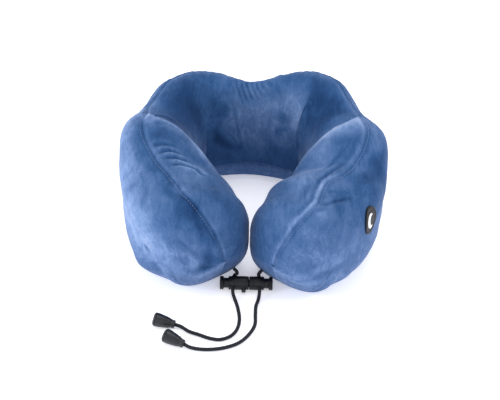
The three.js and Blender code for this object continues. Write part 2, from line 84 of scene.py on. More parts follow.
ZIP = {"x": -58, "y": 67, "radius": 61.3, "height": 21, "tilt": 0.16, "start": 1.62, "end": 2.9}
CLASP = {"x": 0.8, "y": -104.5, "z": 7.2}
SOCKET_LENGTH, PLUG_LENGTH = 20.7, 15.1
BORE_RADIUS, BORE_DEPTH = 5.3, 12.3
PLUNGER_INSIDE, PLUNGER_TRAVEL = 7.5, 2.3
CORD_RADIUS = 1.8
CORDS = {
    "left": [
        (-14.9, -97.9, 20.4), (-12.1, -99.9, 18.8), (-11.5, -98, 14), (-13.6, -94, 9), (-15.4, -96.5, 7.2),
        (-15.4, -100, 7.2), (-15.4, -109, 7.2), (-15.4, -112.5, 7.2), (-15, -118, 4.8), (-13, -124, 2.3),
        (-10, -136, 2.1), (-8, -153, 2.1), (-10, -167, 2.1), (-16, -177, 2.1), (-26, -182, 2.1),
        (-36, -180.5, 2.1), (-46, -176, 2.1), (-56, -171.6, 2.1), (-64.5, -165.9, 3.1), (-69.5, -164.9, 4.3),
    ],
    "right": [
        (14.9, -97.9, 20.4), (12.1, -99.9, 18.8), (10.4, -98, 14), (10.4, -94, 9), (11.4, -96.5, 7.2),
        (11.4, -100, 7.2), (11.4, -109, 7.2), (11.4, -112.5, 7.2), (11.2, -118, 4.8), (10.2, -124, 2.3),
        (8, -133, 2.1), (7.5, -146, 2.1), (7, -161, 2.1), (1, -175, 2.1), (-8, -186, 2.1),
        (-20, -192.5, 2.1), (-33, -195.5, 2.1), (-46, -195.4, 2.1), (-54.6, -194, 3.1), (-59.3, -191.8, 4.3),
    ],
}


# ---- Materials ----

def linear(code):
    """Linear RGBA of an sRGB hex colour."""
    channels = [int(code[i:i + 2], 16) / 255 for i in (1, 3, 5)]
    return (*[c / 12.92 if c <= 0.04045 else ((c + 0.055) / 1.055) ** 2.4 for c in channels], 1)


def add(tree, kind, inputs=(), **settings):
    """Adds a node with its settings; inputs are values or sockets to link from."""
    made = tree.nodes.new(kind)
    for name, value in settings.items():
        setattr(made, name, value)
    for key, value in dict(inputs).items():
        if isinstance(value, bpy.types.NodeSocket):
            tree.links.new(value, made.inputs[key])
        else:
            made.inputs[key].default_value = value
    return made


def finish_material(name, colour, shader_inputs, bump=None):
    """A Principled material: colour gives a socket, and bump a height's socket, strength and depth in mm."""
    made = bpy.data.materials.new(name)
    made.use_nodes = True
    tree = made.node_tree
    shader = tree.nodes["Principled BSDF"]
    for key, value in shader_inputs.items():
        shader.inputs[key].default_value = value
    tree.links.new(colour(tree), shader.inputs["Base Color"])
    if bump:
        height, strength, depth = bump(tree)
        bumped = add(tree, "ShaderNodeBump", {"Height": height, "Strength": strength, "Distance": depth * MM})
        tree.links.new(bumped.outputs["Normal"], shader.inputs["Normal"])
    return made


def object_noise(tree, size, detail=2.0, distortion=0.0, stretch=(1, 1, 1), turn=(0, 0, 0)):
    """Noise on Object coordinates with features `size` mm wide, stretched by `stretch`."""
    place = add(tree, "ShaderNodeTexCoord").outputs["Object"]
    mapped = add(tree, "ShaderNodeMapping", {
        "Vector": place, "Rotation": turn, "Scale": tuple(1 / (size * MM * s) for s in stretch)})
    return add(tree, "ShaderNodeTexNoise", {
        "Vector": mapped.outputs["Vector"], "Scale": 1.0, "Detail": detail, "Distortion": distortion,
    }).outputs["Fac"]


def summed(tree, *parts):
    """The parts added up, each a socket or a number."""
    total = parts[0]
    for part in parts[1:]:
        total = add(tree, "ShaderNodeMath", {0: total, 1: part}, operation="ADD").outputs[0]
    return total


def ramp(tree, factor, stops):
    """A colour that runs through (place, hex code) stops."""
    made = add(tree, "ShaderNodeValToRGB", {"Fac": factor})
    elements = made.color_ramp.elements
    while len(elements) < len(stops):
        elements.new(0.5)
    for element, (at, code) in zip(elements, stops):
        element.position = at
        element.color = linear(code)
    return made.outputs["Color"]


def around(tree, factor, swing):
    """Noise as a plus-or-minus swing about nought."""
    values = {0: factor, 1: 2 * swing, 2: -swing}
    return add(tree, "ShaderNodeMath", values, operation="MULTIPLY_ADD").outputs[0]


def mottled(size, dark, pale, detail=2.0, distortion=0.0, start=0.3):
    """A colour that wanders from dark to pale in patches `size` mm wide."""
    def colour(tree):
        return ramp(tree, object_noise(tree, size, detail, distortion), ((start, dark), (0.7, pale)))
    return colour


# The pile's colour from dark to light, driven by the nap attribute, which holds the pile's brushed lie
# together with painted light and shade.
VELOUR_STOPS = (
    (0.0, "#0f2748"), (0.22, "#1c3b64"), (0.42, "#2f507c"),
    (0.6, "#48648f"), (0.78, "#6a84ae"), (1.0, "#93a5c6"),
)


def velour_colour(tree, shift=0.0):
    """Pile that lies one way or the other: broad brushed areas, streaks, and a mottle as fine as the pile,
    over the painted light and shade that the nap attribute carries.
    """
    nap_and_painted_light = add(tree, "ShaderNodeAttribute", attribute_name="nap_and_painted_light").outputs["Fac"]
    broad = around(tree, object_noise(tree, 30, 4, 0.9), 0.13)
    streaks = around(tree, object_noise(tree, 7, 5, 1.4, (1, 3.2, 1.8), (0.3, 0.5, 0.7)), 0.17)
    fine = around(tree, object_noise(tree, 1.5, 3, 0.3), 0.09)
    return ramp(tree, summed(tree, summed(tree, nap_and_painted_light, broad), summed(tree, streaks, fine), shift), VELOUR_STOPS)


def velour_bump(tree):
    """Tufts of pile over broader crushed patches."""
    pile = object_noise(tree, 1.1, 3, 0.2)
    crushed = object_noise(tree, 6, 4, 0.9, (1, 1.9, 1.3), (0.2, 0.4, 0.9))
    height = add(tree, "ShaderNodeMath", {0: crushed, 1: 1.6, 2: pile}, operation="MULTIPLY_ADD").outputs[0]
    return height, 0.55, 0.55


# Polyester velour: a short dense pile, matt face on and pale at the rims, where light catches its tips.
VELOUR = finish_material("polyester_velour", velour_colour, {
    "Roughness": 0.92, "Specular IOR Level": 0.1, "Sheen Weight": 0.28, "Sheen Roughness": 0.35,
    "Sheen Tint": linear("#c9d3ea")}, velour_bump)


def base_colour(tree):
    return velour_colour(tree, 0.06)


# Knitted polyester under the pillow: the same dye with less pile, so it is darker and flatter.
BASE_CLOTH = finish_material("knitted_polyester", base_colour, {
    "Roughness": 0.95, "Specular IOR Level": 0.08, "Sheen Weight": 0.15, "Sheen Roughness": 0.5,
    "Sheen Tint": linear("#aebbdc")}, velour_bump)

# Spun polyester sewing thread: a shade paler than the velour, with a slight lustre.
THREAD = finish_material(
    "spun_polyester_thread", mottled(0.8, "#3f5a88", "#6d87b4"), {"Roughness": 0.6, "Sheen Weight": 0.2},
    lambda tree: (object_noise(tree, 0.5, 2, 0, (1, 1, 3)), 0.4, 0.1))

TAPE_THREAD = 0.8 # mm, about twice a real thread's width, so that the weave shows
BANDS_PER_UNIT = 6.3 # in a wave texture at scale 1


def tape_weave(tree):
    """Threads along two axes, the higher one on top."""
    place = add(tree, "ShaderNodeTexCoord").outputs["Object"]
    scale = 1 / (TAPE_THREAD * MM * BANDS_PER_UNIT)
    across, up = (
        add(tree, "ShaderNodeTexWave", {"Vector": place, "Scale": scale}, bands_direction=way).outputs["Fac"]
        for way in "XZ")
    return add(tree, "ShaderNodeMath", {0: across, 1: up}, operation="MAXIMUM").outputs[0], 0.5, 0.2


# Woven polyester zip tape: a plain weave in the velour's dye, matt.
ZIP_TAPE = finish_material(
    "woven_polyester_tape", mottled(2.5, "#1d3358", "#36517f", 3), {"Roughness": 0.85, "Sheen Weight": 0.15},
    tape_weave)

# Nylon monofilament coil: smooth dark plastic with a soft shine.
ZIP_COIL = finish_material(
    "nylon_monofilament", mottled(3, "#141d33", "#26334f"), {"Roughness": 0.35, "IOR": 1.53})

# Die-cast zinc under dark lacquer: hard small highlights on a faintly clouded coat.
ZIP_METAL = finish_material(
    "lacquered_zinc", mottled(2.0, "#33373f", "#5c626d", 4, 0.5, 0.35), {"Roughness": 0.32, "Metallic": 0.85},
    lambda tree: (object_noise(tree, 0.9, 3), 0.2, 0.05))


def moulded(tree):
    """The fine grain that a spark-eroded mould leaves."""
    return object_noise(tree, 0.7, 3), 0.25, 0.05


# Moulded acetal: dense black plastic with a fine grain, half matt.
ACETAL = finish_material(
    "moulded_acetal", mottled(4, "#07080c", "#14161c", 4, 0.4),
    {"Roughness": 0.4, "Specular IOR Level": 0.32, "IOR": 1.48}, moulded)

# Moulded nylon bells: as the clasp but a little glossier.
NYLON = finish_material(
    "moulded_nylon", mottled(5, "#0a0b10", "#191b23", 4, 0.4),
    {"Roughness": 0.36, "Specular IOR Level": 0.4, "IOR": 1.53}, moulded)

# Drawn spring steel: bright, slightly clouded by the oil that it was drawn in.
SPRING_STEEL = finish_material(
    "drawn_spring_steel", mottled(0.6, "#9da1a9", "#c9ccd2", 3), {"Roughness": 0.28, "Metallic": 1.0})


def braid_colour_with_painted_shade(tree):
    """Black strands, paler where the tube's `braid` attribute says that one lies on top: a painted highlight
    on the raised strands and painted shade between them.
    """
    raised = add(tree, "ShaderNodeAttribute", attribute_name="braid").outputs["Fac"]
    mottle = around(tree, object_noise(tree, 1.2, 3), 0.18)
    stops = ((0.1, "#040507"), (0.6, "#0f1116"), (1.0, "#262a33"))
    return ramp(tree, summed(tree, raised, mottle), stops)


# Braided polyester cord: matt black strands that pass over and under each other.
BRAID = finish_material("braided_polyester", braid_colour_with_painted_shade, {
    "Roughness": 0.8, "Specular IOR Level": 0.25, "Sheen Weight": 0.12, "Sheen Roughness": 0.4},
    lambda tree: (object_noise(tree, 0.35, 2, 0, (1, 2.5, 1)), 0.5, 0.08))

# Soft moulded rubber label: even black, half matt.
LABEL_RUBBER = finish_material(
    "moulded_soft_rubber", mottled(3, "#06070a", "#101217", 3),
    {"Roughness": 0.5, "Specular IOR Level": 0.3, "IOR": 1.5}, moulded)

# Raised white print on the label: thick ink, slightly uneven.
WHITE_INK = finish_material(
    "raised_white_ink", mottled(1.5, "#e4e6ea", "#f7f8fa", 3), {"Roughness": 0.55}, moulded)

# Opal board lit softly from below, so that the ground stays white up to the pillow's shade.
BOARD = finish_material("lit_opal_board", mottled(400, "#f1f1f8", "#f6f6fb"), {
    "Roughness": 0.9, "Specular IOR Level": 0.1,
    "Emission Color": linear("#fafaff"), "Emission Strength": 0.38})


# ---- Camera ----

PITCH, YAW, ROLL = (math.radians(a) for a in (35.28, 0.18, 1.27))
DISTANCE = 1.1551
TARGET = Vector((0, 0, 0.05))
LENS = 78.5
CAMERA_SHIFT_Y = -0.0217
CAMERA_NUDGE_Y = -0.0015


def place_camera():
    data = bpy.data.cameras.new("camera")
    data.lens = LENS
    data.sensor_width = 36
    data.shift_y = CAMERA_SHIFT_Y
    camera = bpy.data.objects.new("camera", data)
    bpy.context.scene.collection.objects.link(camera)
    turn = Matrix.Rotation(-YAW, 4, "Z")
    back = Vector((0, -math.cos(PITCH), math.sin(PITCH))) * DISTANCE
    tilt = Matrix.Rotation(math.pi / 2 - PITCH, 4, "X") @ Matrix.Rotation(ROLL, 4, "Z")
    start = Matrix.Translation((0, CAMERA_NUDGE_Y, 0)) @ turn
    camera.matrix_world = start @ Matrix.Translation(TARGET + back) @ tilt
    bpy.context.scene.camera = camera


place_camera()


# ---- Making meshes ----

def piece(name, points, faces, material, smooth=True):
    """A mesh object at the origin from points in metres."""
    mesh = bpy.data.meshes.new(name)
    mesh.from_pydata([tuple(p) for p in np.asarray(points, float)], [], faces)
    mesh.materials.append(material)
    mesh.validate()
    if smooth:
        mesh.shade_smooth()
    made = bpy.data.objects.new(name, mesh)
    bpy.context.scene.collection.objects.link(made)
    return made


def grid_faces(rows, columns, close=False):
    """Quads of a rows by columns grid; `close` joins the last column to the first."""
    wide = columns if close else columns - 1
    faces = []
    for i in range(rows - 1):
        here, there = i * columns, (i + 1) * columns
        for j in range(wide):
            k = (j + 1) % columns
            faces.append((here + j, there + j, there + k, here + k))
    return faces


def capped_faces(rows, columns):
    """Faces of a tube of rings, its ends fanned to two more points after the rings' own."""
    faces = grid_faces(rows, columns, close=True)
    start, last = rows * columns, (rows - 1) * columns
    for j in range(columns):
        k = (j + 1) % columns
        faces += [(start, j, k), (start + 1, last + k, last + j)]
    return faces


def outwards(made, merge=1e-6):
    """Merges doubles and turns a closed mesh's faces outwards."""
    work = bmesh.new()
    work.from_mesh(made.data)
    bmesh.ops.remove_doubles(work, verts=work.verts, dist=merge)
    bmesh.ops.dissolve_degenerate(work, edges=work.edges, dist=merge)
    bmesh.ops.recalc_face_normals(work, faces=work.faces)
    work.to_mesh(made.data)
    work.free()
    made.data.shade_smooth()
    return made


ROUTE_STEPS = 40 # between two of a route's points, before it is evened out


def plain_mesh(made):
    """Takes a piece's modifiers into its mesh."""
    evaluated = made.evaluated_get(bpy.context.evaluated_depsgraph_get())
    result = bpy.data.meshes.new_from_object(evaluated)
    made.modifiers.clear()
    made.data = result


def between(t, before, after, start, end):
    """The point at time t on the line from start, at time `before`, to end, at time `after`."""
    return ((after - t) * start + (t - before) * end) / (after - before)


def route_points(route, step):
    """Points `step` mm apart along the centripetal curve through a route, in mm."""
    knots = np.array(route, float)
    knots = np.vstack([2 * knots[0] - knots[1], knots, 2 * knots[-1] - knots[-2]])
    fine = []
    for i in range(1, len(knots) - 2):
        p = knots[i - 1:i + 3]
        times = np.concatenate([[0], np.cumsum(np.linalg.norm(np.diff(p, axis=0), axis=1) ** 0.5)])
        t = np.linspace(times[1], times[2], ROUTE_STEPS, endpoint=False)[:, None]
        a = [between(t, times[k], times[k + 1], p[k], p[k + 1]) for k in range(3)]
        b = [between(t, times[k], times[k + 2], a[k], a[k + 1]) for k in range(2)]
        fine.append(between(t, times[1], times[2], b[0], b[1]))
    fine = np.vstack([*fine, knots[-2]])
    along = np.concatenate([[0], np.cumsum(np.linalg.norm(np.diff(fine, axis=0), axis=1))])
    count = max(2, round(along[-1] / step))
    wanted = np.linspace(0, along[-1], count + 1)
    return np.stack([np.interp(wanted, along, fine[:, k]) for k in range(3)], 1), along[-1]


def unit(vectors):
    return vectors / np.maximum(np.linalg.norm(vectors, axis=-1, keepdims=True), 1e-12)


# ---- Cords ----

BRAID_SIDES = 24
BRAID_STEP = 0.6
BRAID_PITCH = 7.2 # mm along the cord for one turn of a strand
BRAID_STRANDS = 8
BRAID_DEPTH = 0.14
END_DOME = 0.1
FIRST_SIDE = (0.3, 0.1, 1.0) # any direction that no cord starts in


def cord_tube(name, route):
    """A round braided tube along a route, closed at both ends, with the braid's relief in its mesh."""
    centre, length = route_points(route, BRAID_STEP)
    tangent = unit(np.gradient(centre, axis=0))
    side = np.zeros_like(centre)
    side[0] = unit(np.cross(tangent[0], FIRST_SIDE))
    for i in range(1, len(centre)):
        carried = side[i - 1] - tangent[i] * (side[i - 1] @ tangent[i])
        side[i] = unit(carried)
    other = np.cross(tangent, side)
    angle = 2 * np.pi * np.arange(BRAID_SIDES) / BRAID_SIDES
    along = np.linspace(0, length, len(centre))[:, None]
    turn = 2 * np.pi * along / BRAID_PITCH
    strands = BRAID_STRANDS / 2
    one, two = np.sin(strands * (angle + turn)), np.sin(strands * (angle - turn))
    weave = 0.5 + 0.5 * np.maximum(one, two)
    radius = CORD_RADIUS - BRAID_DEPTH * (1 - weave)
    points = centre[:, None] + radius[..., None] * (
        np.cos(angle)[None, :, None] * side[:, None] + np.sin(angle)[None, :, None] * other[:, None])
    domes = (centre[0] - tangent[0] * END_DOME, centre[-1] + tangent[-1] * END_DOME)
    points = np.vstack([points.reshape(-1, 3), *domes])
    made = piece(name, points * MM, capped_faces(len(centre), BRAID_SIDES), BRAID)
    attribute = made.data.attributes.new("braid", "FLOAT", "POINT")
    attribute.data.foreach_set("value", np.append(weave.ravel(), (0.5, 0.5)).astype(np.float32))
    outwards(made)
    return made, centre, length


def lathe(name, profile, material, facing, segments=56):
    """Turns an [along, radius] outline about an axis; facing maps (along, y, z) in mm to the place."""
    angle = 2 * np.pi * np.arange(segments) / segments
    profile = np.array(profile, float)
    ring = np.stack([
        np.repeat(profile[:, :1], segments, 1),
        profile[:, 1:] * np.cos(angle), profile[:, 1:] * np.sin(angle)], -1)
    faces = grid_faces(len(profile), segments, close=True)
    return outwards(piece(name, facing(ring.reshape(-1, 3)) * MM, faces, material), 2e-6)


def rounded(profile, radius=0.35, steps=3):
    """An outline with each inner corner turned on a small radius."""
    profile = [np.array(p, float) for p in profile]
    out = [profile[0]]
    for before, corner, after in zip(profile, profile[1:], profile[2:]):
        a, b = before - corner, after - corner
        reach = min(radius, 0.45 * np.linalg.norm(a), 0.45 * np.linalg.norm(b))
        p, q = corner + unit(a) * reach, corner + unit(b) * reach
        for k in range(steps + 1):
            f = k / steps
            out.append((1 - f) ** 2 * p + 2 * f * (1 - f) * corner + f ** 2 * q)
    out.append(profile[-1])
    return out


BELL = {"length": 19, "narrow": 3.9, "wide": 6.9, "bore": 2.3, "bore_length": 6, "cavity": 5.2, "wall": 1.2}
GAP = 0.3


def bell_place(route):
    """Maps (along, y, z) of a bell, along measured from the cord's end, to its place in mm."""
    before, end = np.array(route[-2], float), np.array(route[-1], float)
    heading = math.atan2(before[1] - end[1], before[0] - end[0])
    rise = math.asin((BELL["wide"] - BELL["narrow"]) / BELL["length"])
    turn = np.array(Matrix.Rotation(heading, 3, "Z") @ Matrix.Rotation(rise, 3, "Y"))

    def place(points):
        local = points * np.array((-1, -1, 1))
        return local @ turn.T + end
    return place


def make_bell(name, route):
    """A bell with a ribbed neck at the cord's end, and the domed lid that closes its mouth."""
    length, narrow, wide = BELL["length"], BELL["narrow"], BELL["wide"]
    bore, bore_length, cavity = BELL["bore"], BELL["bore_length"], BELL["cavity"]
    place = bell_place(route)
    shell = rounded([
        (GAP, bore), (GAP, narrow - 0.4), (GAP + 0.8, narrow + 0.1), (2.6, narrow + 0.25),
        (3.0, narrow - 0.05), (3.6, narrow - 0.05), (4.0, narrow + 0.35),
        (length * 0.5, (narrow + wide) / 2 + 0.25), (length * 0.8, wide - 0.35), (length, wide),
        (length, wide - BELL["wall"]), (length - 1, cavity), (bore_length, cavity), (bore_length, bore),
        (GAP, bore)], 0.5)
    bell = lathe(f"bell_{name}", shell, NYLON, place)
    face = length + GAP
    lid = lathe(f"bell_lid_{name}", rounded([
        (face - 2, 0), (face - 2, 4.6), (face, 4.6), (face, wide), (face + 1.2, 6.7), (face + 2.4, 5.4),
        (face + 2.6, 3.2), (face + 2.2, 2.8), (face + 2.2, 0)], 0.5), NYLON, place)
    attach(bell, f"{name}_side")
    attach(lid, f"{name}_side")
    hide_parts(f"cord_bell_{name}")
    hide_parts(f"cord_bell_lid_{name}")
    return bell, lid


for name, route in CORDS.items():
    cord, centre, length = cord_tube(f"braided_cord_{name}", route)
    bell, lid = make_bell(name, route)
    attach(cord, f"{name}_side")
    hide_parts(f"cord_{name}")


# ---- The pillow's skin ----

def section_at(t):
    """Section measures and path direction at places t, from 0 at the back centre to LAST at the tip."""
    mirrored = STATIONS[1] * np.array((-1, 1, 1, 1, 1, 1, 1, 1))
    knots = np.vstack([mirrored, STATIONS, 2 * STATIONS[LAST] - STATIONS[LAST - 1]])
    i = np.minimum(np.floor(t).astype(int), LAST - 1)
    f = (t - i)[:, None]
    a, b, c, d = (knots[i + k] for k in range(4))
    cubic, square = 3 * b - a - 3 * c + d, 2 * a - 5 * b + 4 * c - d
    value = (cubic * f ** 3 + square * f ** 2 + (c - a) * f + 2 * b) / 2
    slope = (3 * cubic * f ** 2 + 2 * square * f + c - a) / 2
    return value, unit(slope[:, :2])


def skin(t, angle, side=1, settle=0.0):
    """Skin points in mm for places t and a row of angles for each; `settle` adds the arms' own lie."""
    section, along = section_at(np.minimum(t, LAST))
    tip = np.clip(t - LAST, 0, 1) * np.pi / 2
    shrink = np.maximum(np.cos(tip), 1e-9)[:, None]
    station = np.minimum(t, LAST)
    lie = settle * side
    half, crest, base, lean, drawn = (section[:, k:k + 1] for k in (2, 4, 5, 6, 7))
    drawn = drawn + lie * np.interp(station, range(LAST + 1), SETTLE_DRAWN)[:, None]
    height = section[:, 3:4] + lie * np.interp(station, range(LAST + 1), SETTLE_HEIGHT)[:, None]
    centre = section[:, :2] + along * (TIP_LENGTH_SHARE * section[:, 2] * np.sin(tip))[:, None]
    c, s = np.cos(angle), np.sin(angle)
    power = np.where(s >= 0, TOP_POWER, BOTTOM_POWER)
    widest = WIDEST_SHARE * height
    z = widest + np.sign(s) * np.where(s >= 0, height - widest, widest) * np.abs(s) ** (2 / power)
    out = (half - drawn * (c < 0)) * np.sign(c) * np.abs(c) ** (2 / power) + lean * z / height
    out = out + crest * half * np.maximum(s, 0) ** 1.5 + base * half * np.maximum(-s, 0) ** 1.5
    out = out + lie * np.interp(station, range(LAST + 1), SETTLE_OUT)[:, None]
    middle = TIP_CENTRE_SHARE * height
    z = middle + (z - middle) * shrink ** np.where(z > middle, TIP_TOP_POWER, TIP_BOTTOM_POWER)
    out = out * shrink
    y = centre[:, 1:2] + along[:, :1] * out + lie * SETTLE_TIP * (station[:, None] / LAST) ** 1.5
    return np.stack([side * (centre[:, :1] - along[:, 1:2] * out), y, np.maximum(z - SOLE, 0)], -1)


RINGS_PER_STATION = 24
TIP_RINGS = 30
OUTER_COLUMNS, BASE_COLUMNS, INNER_COLUMNS = 78, 44, 84
FINE_ANGLES = 240
OUTER_SEAM_HEIGHT = 6.0
BACK_SEAM_HEIGHT = 21.0
BACK_SEAM_END = 3.4 # the place where the back's seam has come down to the arms' height
BACK_SEAM_FALL = 1.2 # and over how many stations it comes down
TIP_END = 0.9995 # just short of the tip's pole, where a ring would have no width


def seam_angles(t, seam_height):
    """Angle below level at which the skin passes the base seam's height, a quarter turn at most."""
    section, _ = section_at(np.minimum(t, LAST))
    shrink = np.maximum(np.cos(np.clip(t - LAST, 0, 1) * np.pi / 2), 1e-6)
    height = section[:, 3]
    middle = TIP_CENTRE_SHARE * height
    level = middle + (seam_height + SOLE - middle) / shrink ** TIP_BOTTOM_POWER
    widest = WIDEST_SHARE * height
    share = np.clip((widest - level) / widest, 0, 1)
    return np.arcsin(np.minimum(share ** (BOTTOM_POWER / 2), 1))


def even_angles(t, side, low, high, columns):
    """`columns` + 1 angles from low to high for each t, evenly spaced along the skin."""
    share = np.linspace(0, 1, FINE_ANGLES)
    angle = low[:, None] + (high - low)[:, None] * share
    points = skin(t, angle, side, 1.0)
    steps = np.linalg.norm(np.diff(points, axis=1), axis=2) + 1e-6
    along = np.concatenate([np.zeros((len(t), 1)), np.cumsum(steps, 1)], 1)
    wanted = np.linspace(0, 1, columns + 1)
    return np.stack([np.interp(wanted * length[-1], length, row) for length, row in zip(along, angle)])


def half_grid(side):
    """Places, angles and points of one half: columns run from the crest down the outer side, under
    the base, and up the inner side back to the crest."""
    t = np.concatenate([
        np.arange(0, LAST * RINGS_PER_STATION) / RINGS_PER_STATION,
        LAST + np.arange(0, TIP_RINGS + 1) / TIP_RINGS])
    t[-1] = LAST + TIP_END
    back = np.clip((BACK_SEAM_END - t) / BACK_SEAM_FALL, 0, 1)
    inner_seam = OUTER_SEAM_HEIGHT + (BACK_SEAM_HEIGHT - OUTER_SEAM_HEIGHT) * back ** 2 * (3 - 2 * back)
    outer = -seam_angles(t, np.full(len(t), OUTER_SEAM_HEIGHT))
    inner = -np.pi + seam_angles(t, inner_seam)
    top = np.full(len(t), np.pi / 2)
    angle = np.concatenate([
        even_angles(t, side, top, outer, OUTER_COLUMNS),
        even_angles(t, side, outer, inner, BASE_COLUMNS)[:, 1:],
        even_angles(t, side, inner, top - 2 * np.pi, INNER_COLUMNS)[:, 1:-1]], 1)
    return t, angle, skin(t, angle, side, 1.0)


def whole_grid():
    """The left tip to the right tip: signed places, angles and points."""
    t_left, angle_left, left = half_grid(-1)
    t_right, angle_right, right = half_grid(1)
    middle = (left[0] + right[0]) / 2
    middle[:, 0] = 0
    points = np.concatenate([left[:0:-1], middle[None], right[1:]])
    t = np.concatenate([-t_left[:0:-1], t_right])
    return t, np.concatenate([angle_left[:0:-1], angle_right]), points


PLACE, ANGLE, SKIN = whole_grid()
ROWS, COLUMNS = ANGLE.shape
OUTER_SEAM, INNER_SEAM = OUTER_COLUMNS, OUTER_COLUMNS + BASE_COLUMNS
COVER_COLUMNS = np.concatenate([np.arange(INNER_SEAM, COLUMNS), np.arange(0, OUTER_SEAM + 1)])


def grid_normals(points):
    """Outward unit normals of the closed grid."""
    along = np.gradient(points, axis=0)
    round_it = np.roll(points, -1, axis=1) - np.roll(points, 1, axis=1)
    normals = unit(np.cross(along, round_it))
    normals[0], normals[-1] = normals[1], normals[-2]
    back_face = normals[ROWS // 2 - 20:ROWS // 2 + 20, 10:OUTER_COLUMNS - 10, 1]
    return normals if back_face.mean() > 0 else -normals


def crest_reach(points):
    """Distance over the skin from the crest seam in mm: plus down the outer side, minus down the inner."""
    steps = np.linalg.norm(np.roll(points, -1, axis=1) - points, axis=2)
    down = np.concatenate([np.zeros((ROWS, 1)), np.cumsum(steps, 1)], 1)
    middle = OUTER_COLUMNS + BASE_COLUMNS // 2
    reach = down[:, :COLUMNS].copy()
    reach[:, middle:] -= down[:, -1:]
    return reach


NORMALS = grid_normals(SKIN)
REACH = crest_reach(SKIN)
STATION_LENGTH = 42.0 # mean distance between stations, mm
ALONG = np.broadcast_to(PLACE[:, None] * STATION_LENGTH, REACH.shape)


def perlin(points, size, seed):
    """Smooth noise from -1 to 1 with features `size` mm wide."""
    shift = Vector((17.3 * seed, 5.1 * seed, 29.7 * seed))
    flat = points.reshape(-1, 3) / size
    return np.array([noise.noise(Vector(p) + shift) for p in flat]).reshape(points.shape[:-1])


def distance_to(path):
    """Distance in mm over the skin from a path of (place, reach) points, and how far along it, 0 to 1."""
    best = np.full(ALONG.shape, 1e9)
    where = np.zeros(ALONG.shape)
    stops = [(t * STATION_LENGTH, r) for t, r in path]
    count = max(1, len(stops) - 1)
    for k, ((u0, v0), (u1, v1)) in enumerate(zip(stops, stops[1:])):
        du, dv = u1 - u0, v1 - v0
        share = np.clip(((ALONG - u0) * du + (REACH - v0) * dv) / max(du * du + dv * dv, 1e-9), 0, 1)
        gap = np.hypot(ALONG - u0 - share * du, REACH - v0 - share * dv)
        nearer = gap < best
        best = np.where(nearer, gap, best)
        where = np.where(nearer, (k + share) / count, where)
    return best, where


def bump(distance, width):
    return np.exp(-(distance / width) ** 2)


def rise(value, low, high):
    """From 0 at low to 1 at high, smoothly."""
    f = np.clip((value - low) / (high - low), 0, 1)
    return f * f * (3 - 2 * f)


# The crest seam's place over the skin: past the shoulders it runs a little down the back's outer side.
SEAM_REACH = 9 * rise(-np.abs(PLACE), -3.75, -3.1)[:, None]
FROM_SEAM = REACH - SEAM_REACH


# Where the foam stands fuller or slacker: place, reach, half sizes along and across, and height, in mm.
FULLNESS = (
    (-4.55, -60, 30, 34, 4.5), (-2.95, -55, 26, 44, -4), (4.5, -58, 32, 34, 8), (2.9, -55, 26, 44, -4.5),
    (-3.9, -22, 16, 26, 2), (3.95, -22, 16, 26, 2),
)


def fullness():
    total = np.zeros(REACH.shape)
    for t, r, wide, tall, height in FULLNESS:
        u, v = (ALONG - t * STATION_LENGTH) / wide, (REACH - r) / tall
        total += height * np.exp(-(u * u + v * v))
    return total


# Creases in the cover: (place, reach) points, width and depth in mm. A crease has a soft roll on both sides.
CREASES = (
    # across the left arm, in from the seam
    (((-4.70, -4), (-4.66, -14), (-4.72, -27)), 2.2, 1.3),
    (((-4.93, -6), (-4.86, -18), (-5.03, -30)), 2.0, 1.5),
    (((-5.14, -8), (-5.14, -22), (-5.34, -36)), 2.4, 1.6),
    (((-5.46, -7), (-5.46, -20), (-5.76, -33), (-6.28, -38)), 2.3, 1.7),
    (((-3.84, -5), (-3.58, -18), (-3.58, -34)), 2.2, 0.8),
    (((-4.10, -8), (-3.95, -22), (-4.02, -40)), 2.4, 0.7),
    # below the dip of the back
    (((-0.42, 4), (-0.36, -12), (-0.20, -30)), 1.5, 0.8),
    (((-0.30, 4), (-0.24, -9), (-0.08, -26)), 1.3, 0.9),
    (((-0.17, 4), (-0.12, -8), (0.04, -22)), 1.4, 1.0),
    (((-0.04, 4), (0.02, -7), (0.18, -24)), 1.3, 0.9),
    (((0.08, 3), (0.14, -8), (0.28, -20)), 1.5, 0.9),
    (((0.20, 2), (0.27, -8), (0.40, -18)), 1.4, 0.7),
    (((0.34, 1), (0.42, -7), (0.56, -14)), 1.5, 0.6),
    # upright crease low on the inner back, and a second at its foot
    (((-0.52, -22), (-0.42, -45), (-0.29, -72), (-0.19, -84)), 1.6, 0.6),
    (((-0.62, -66), (-0.36, -78), (-0.22, -86)), 1.8, 0.7),
    # beside the right arm's seam
    (((4.55, -8), (5.32, -12), (6.10, -8), (7.01, -8), (7.32, -6)), 2.2, 1.2),
    (((4.3, -16), (4.9, -21), (5.6, -22)), 2.2, 0.6),
    (((6.98, 5), (6.68, 12), (6.32, 21), (5.92, 31)), 2.0, 1.1),
    (((7.16, 5), (7.00, 11)), 1.8, 0.9),
    (((6.3, 6), (6.1, 14)), 1.8, 0.8),
    # at the left arm's tip, down from the seam's end
    (((-7.70, 30), (-7.69, 50), (-7.45, 74)), 2.2, 1.6),
    (((-7.80, 18), (-7.76, 40), (-7.60, 70)), 2.2, 1.7),
    (((-7.88, 8), (-7.80, 36), (-7.68, 70)), 2.4, 1.5),
    (((-7.64, 44), (-7.40, 66)), 2.6, 1.2),
    (((-7.54, 42), (-7.66, 33), (-7.80, 13)), 2.6, 1.2),
    (((-7.40, 38), (-7.54, 33)), 2.4, 1.0),
    (((-6.42, 80), (-6.62, 84)), 2.2, 1.1),
    # at the right arm's tip
    (((7.40, 60), (7.62, 44), (7.72, 26)), 3.2, 0.7),
    (((6.9, 84), (7.3, 76), (7.6, 62)), 3.4, 0.8),
)


def creases():
    total = np.zeros(REACH.shape)
    for path, width, depth in CREASES:
        distance, where = distance_to(path)
        fade = np.clip(np.minimum(where, 1 - where) / 0.22, 0.15, 1)
        total += depth * fade * (0.55 * bump(distance - 2.1 * width, width) - bump(distance, width))
    return total


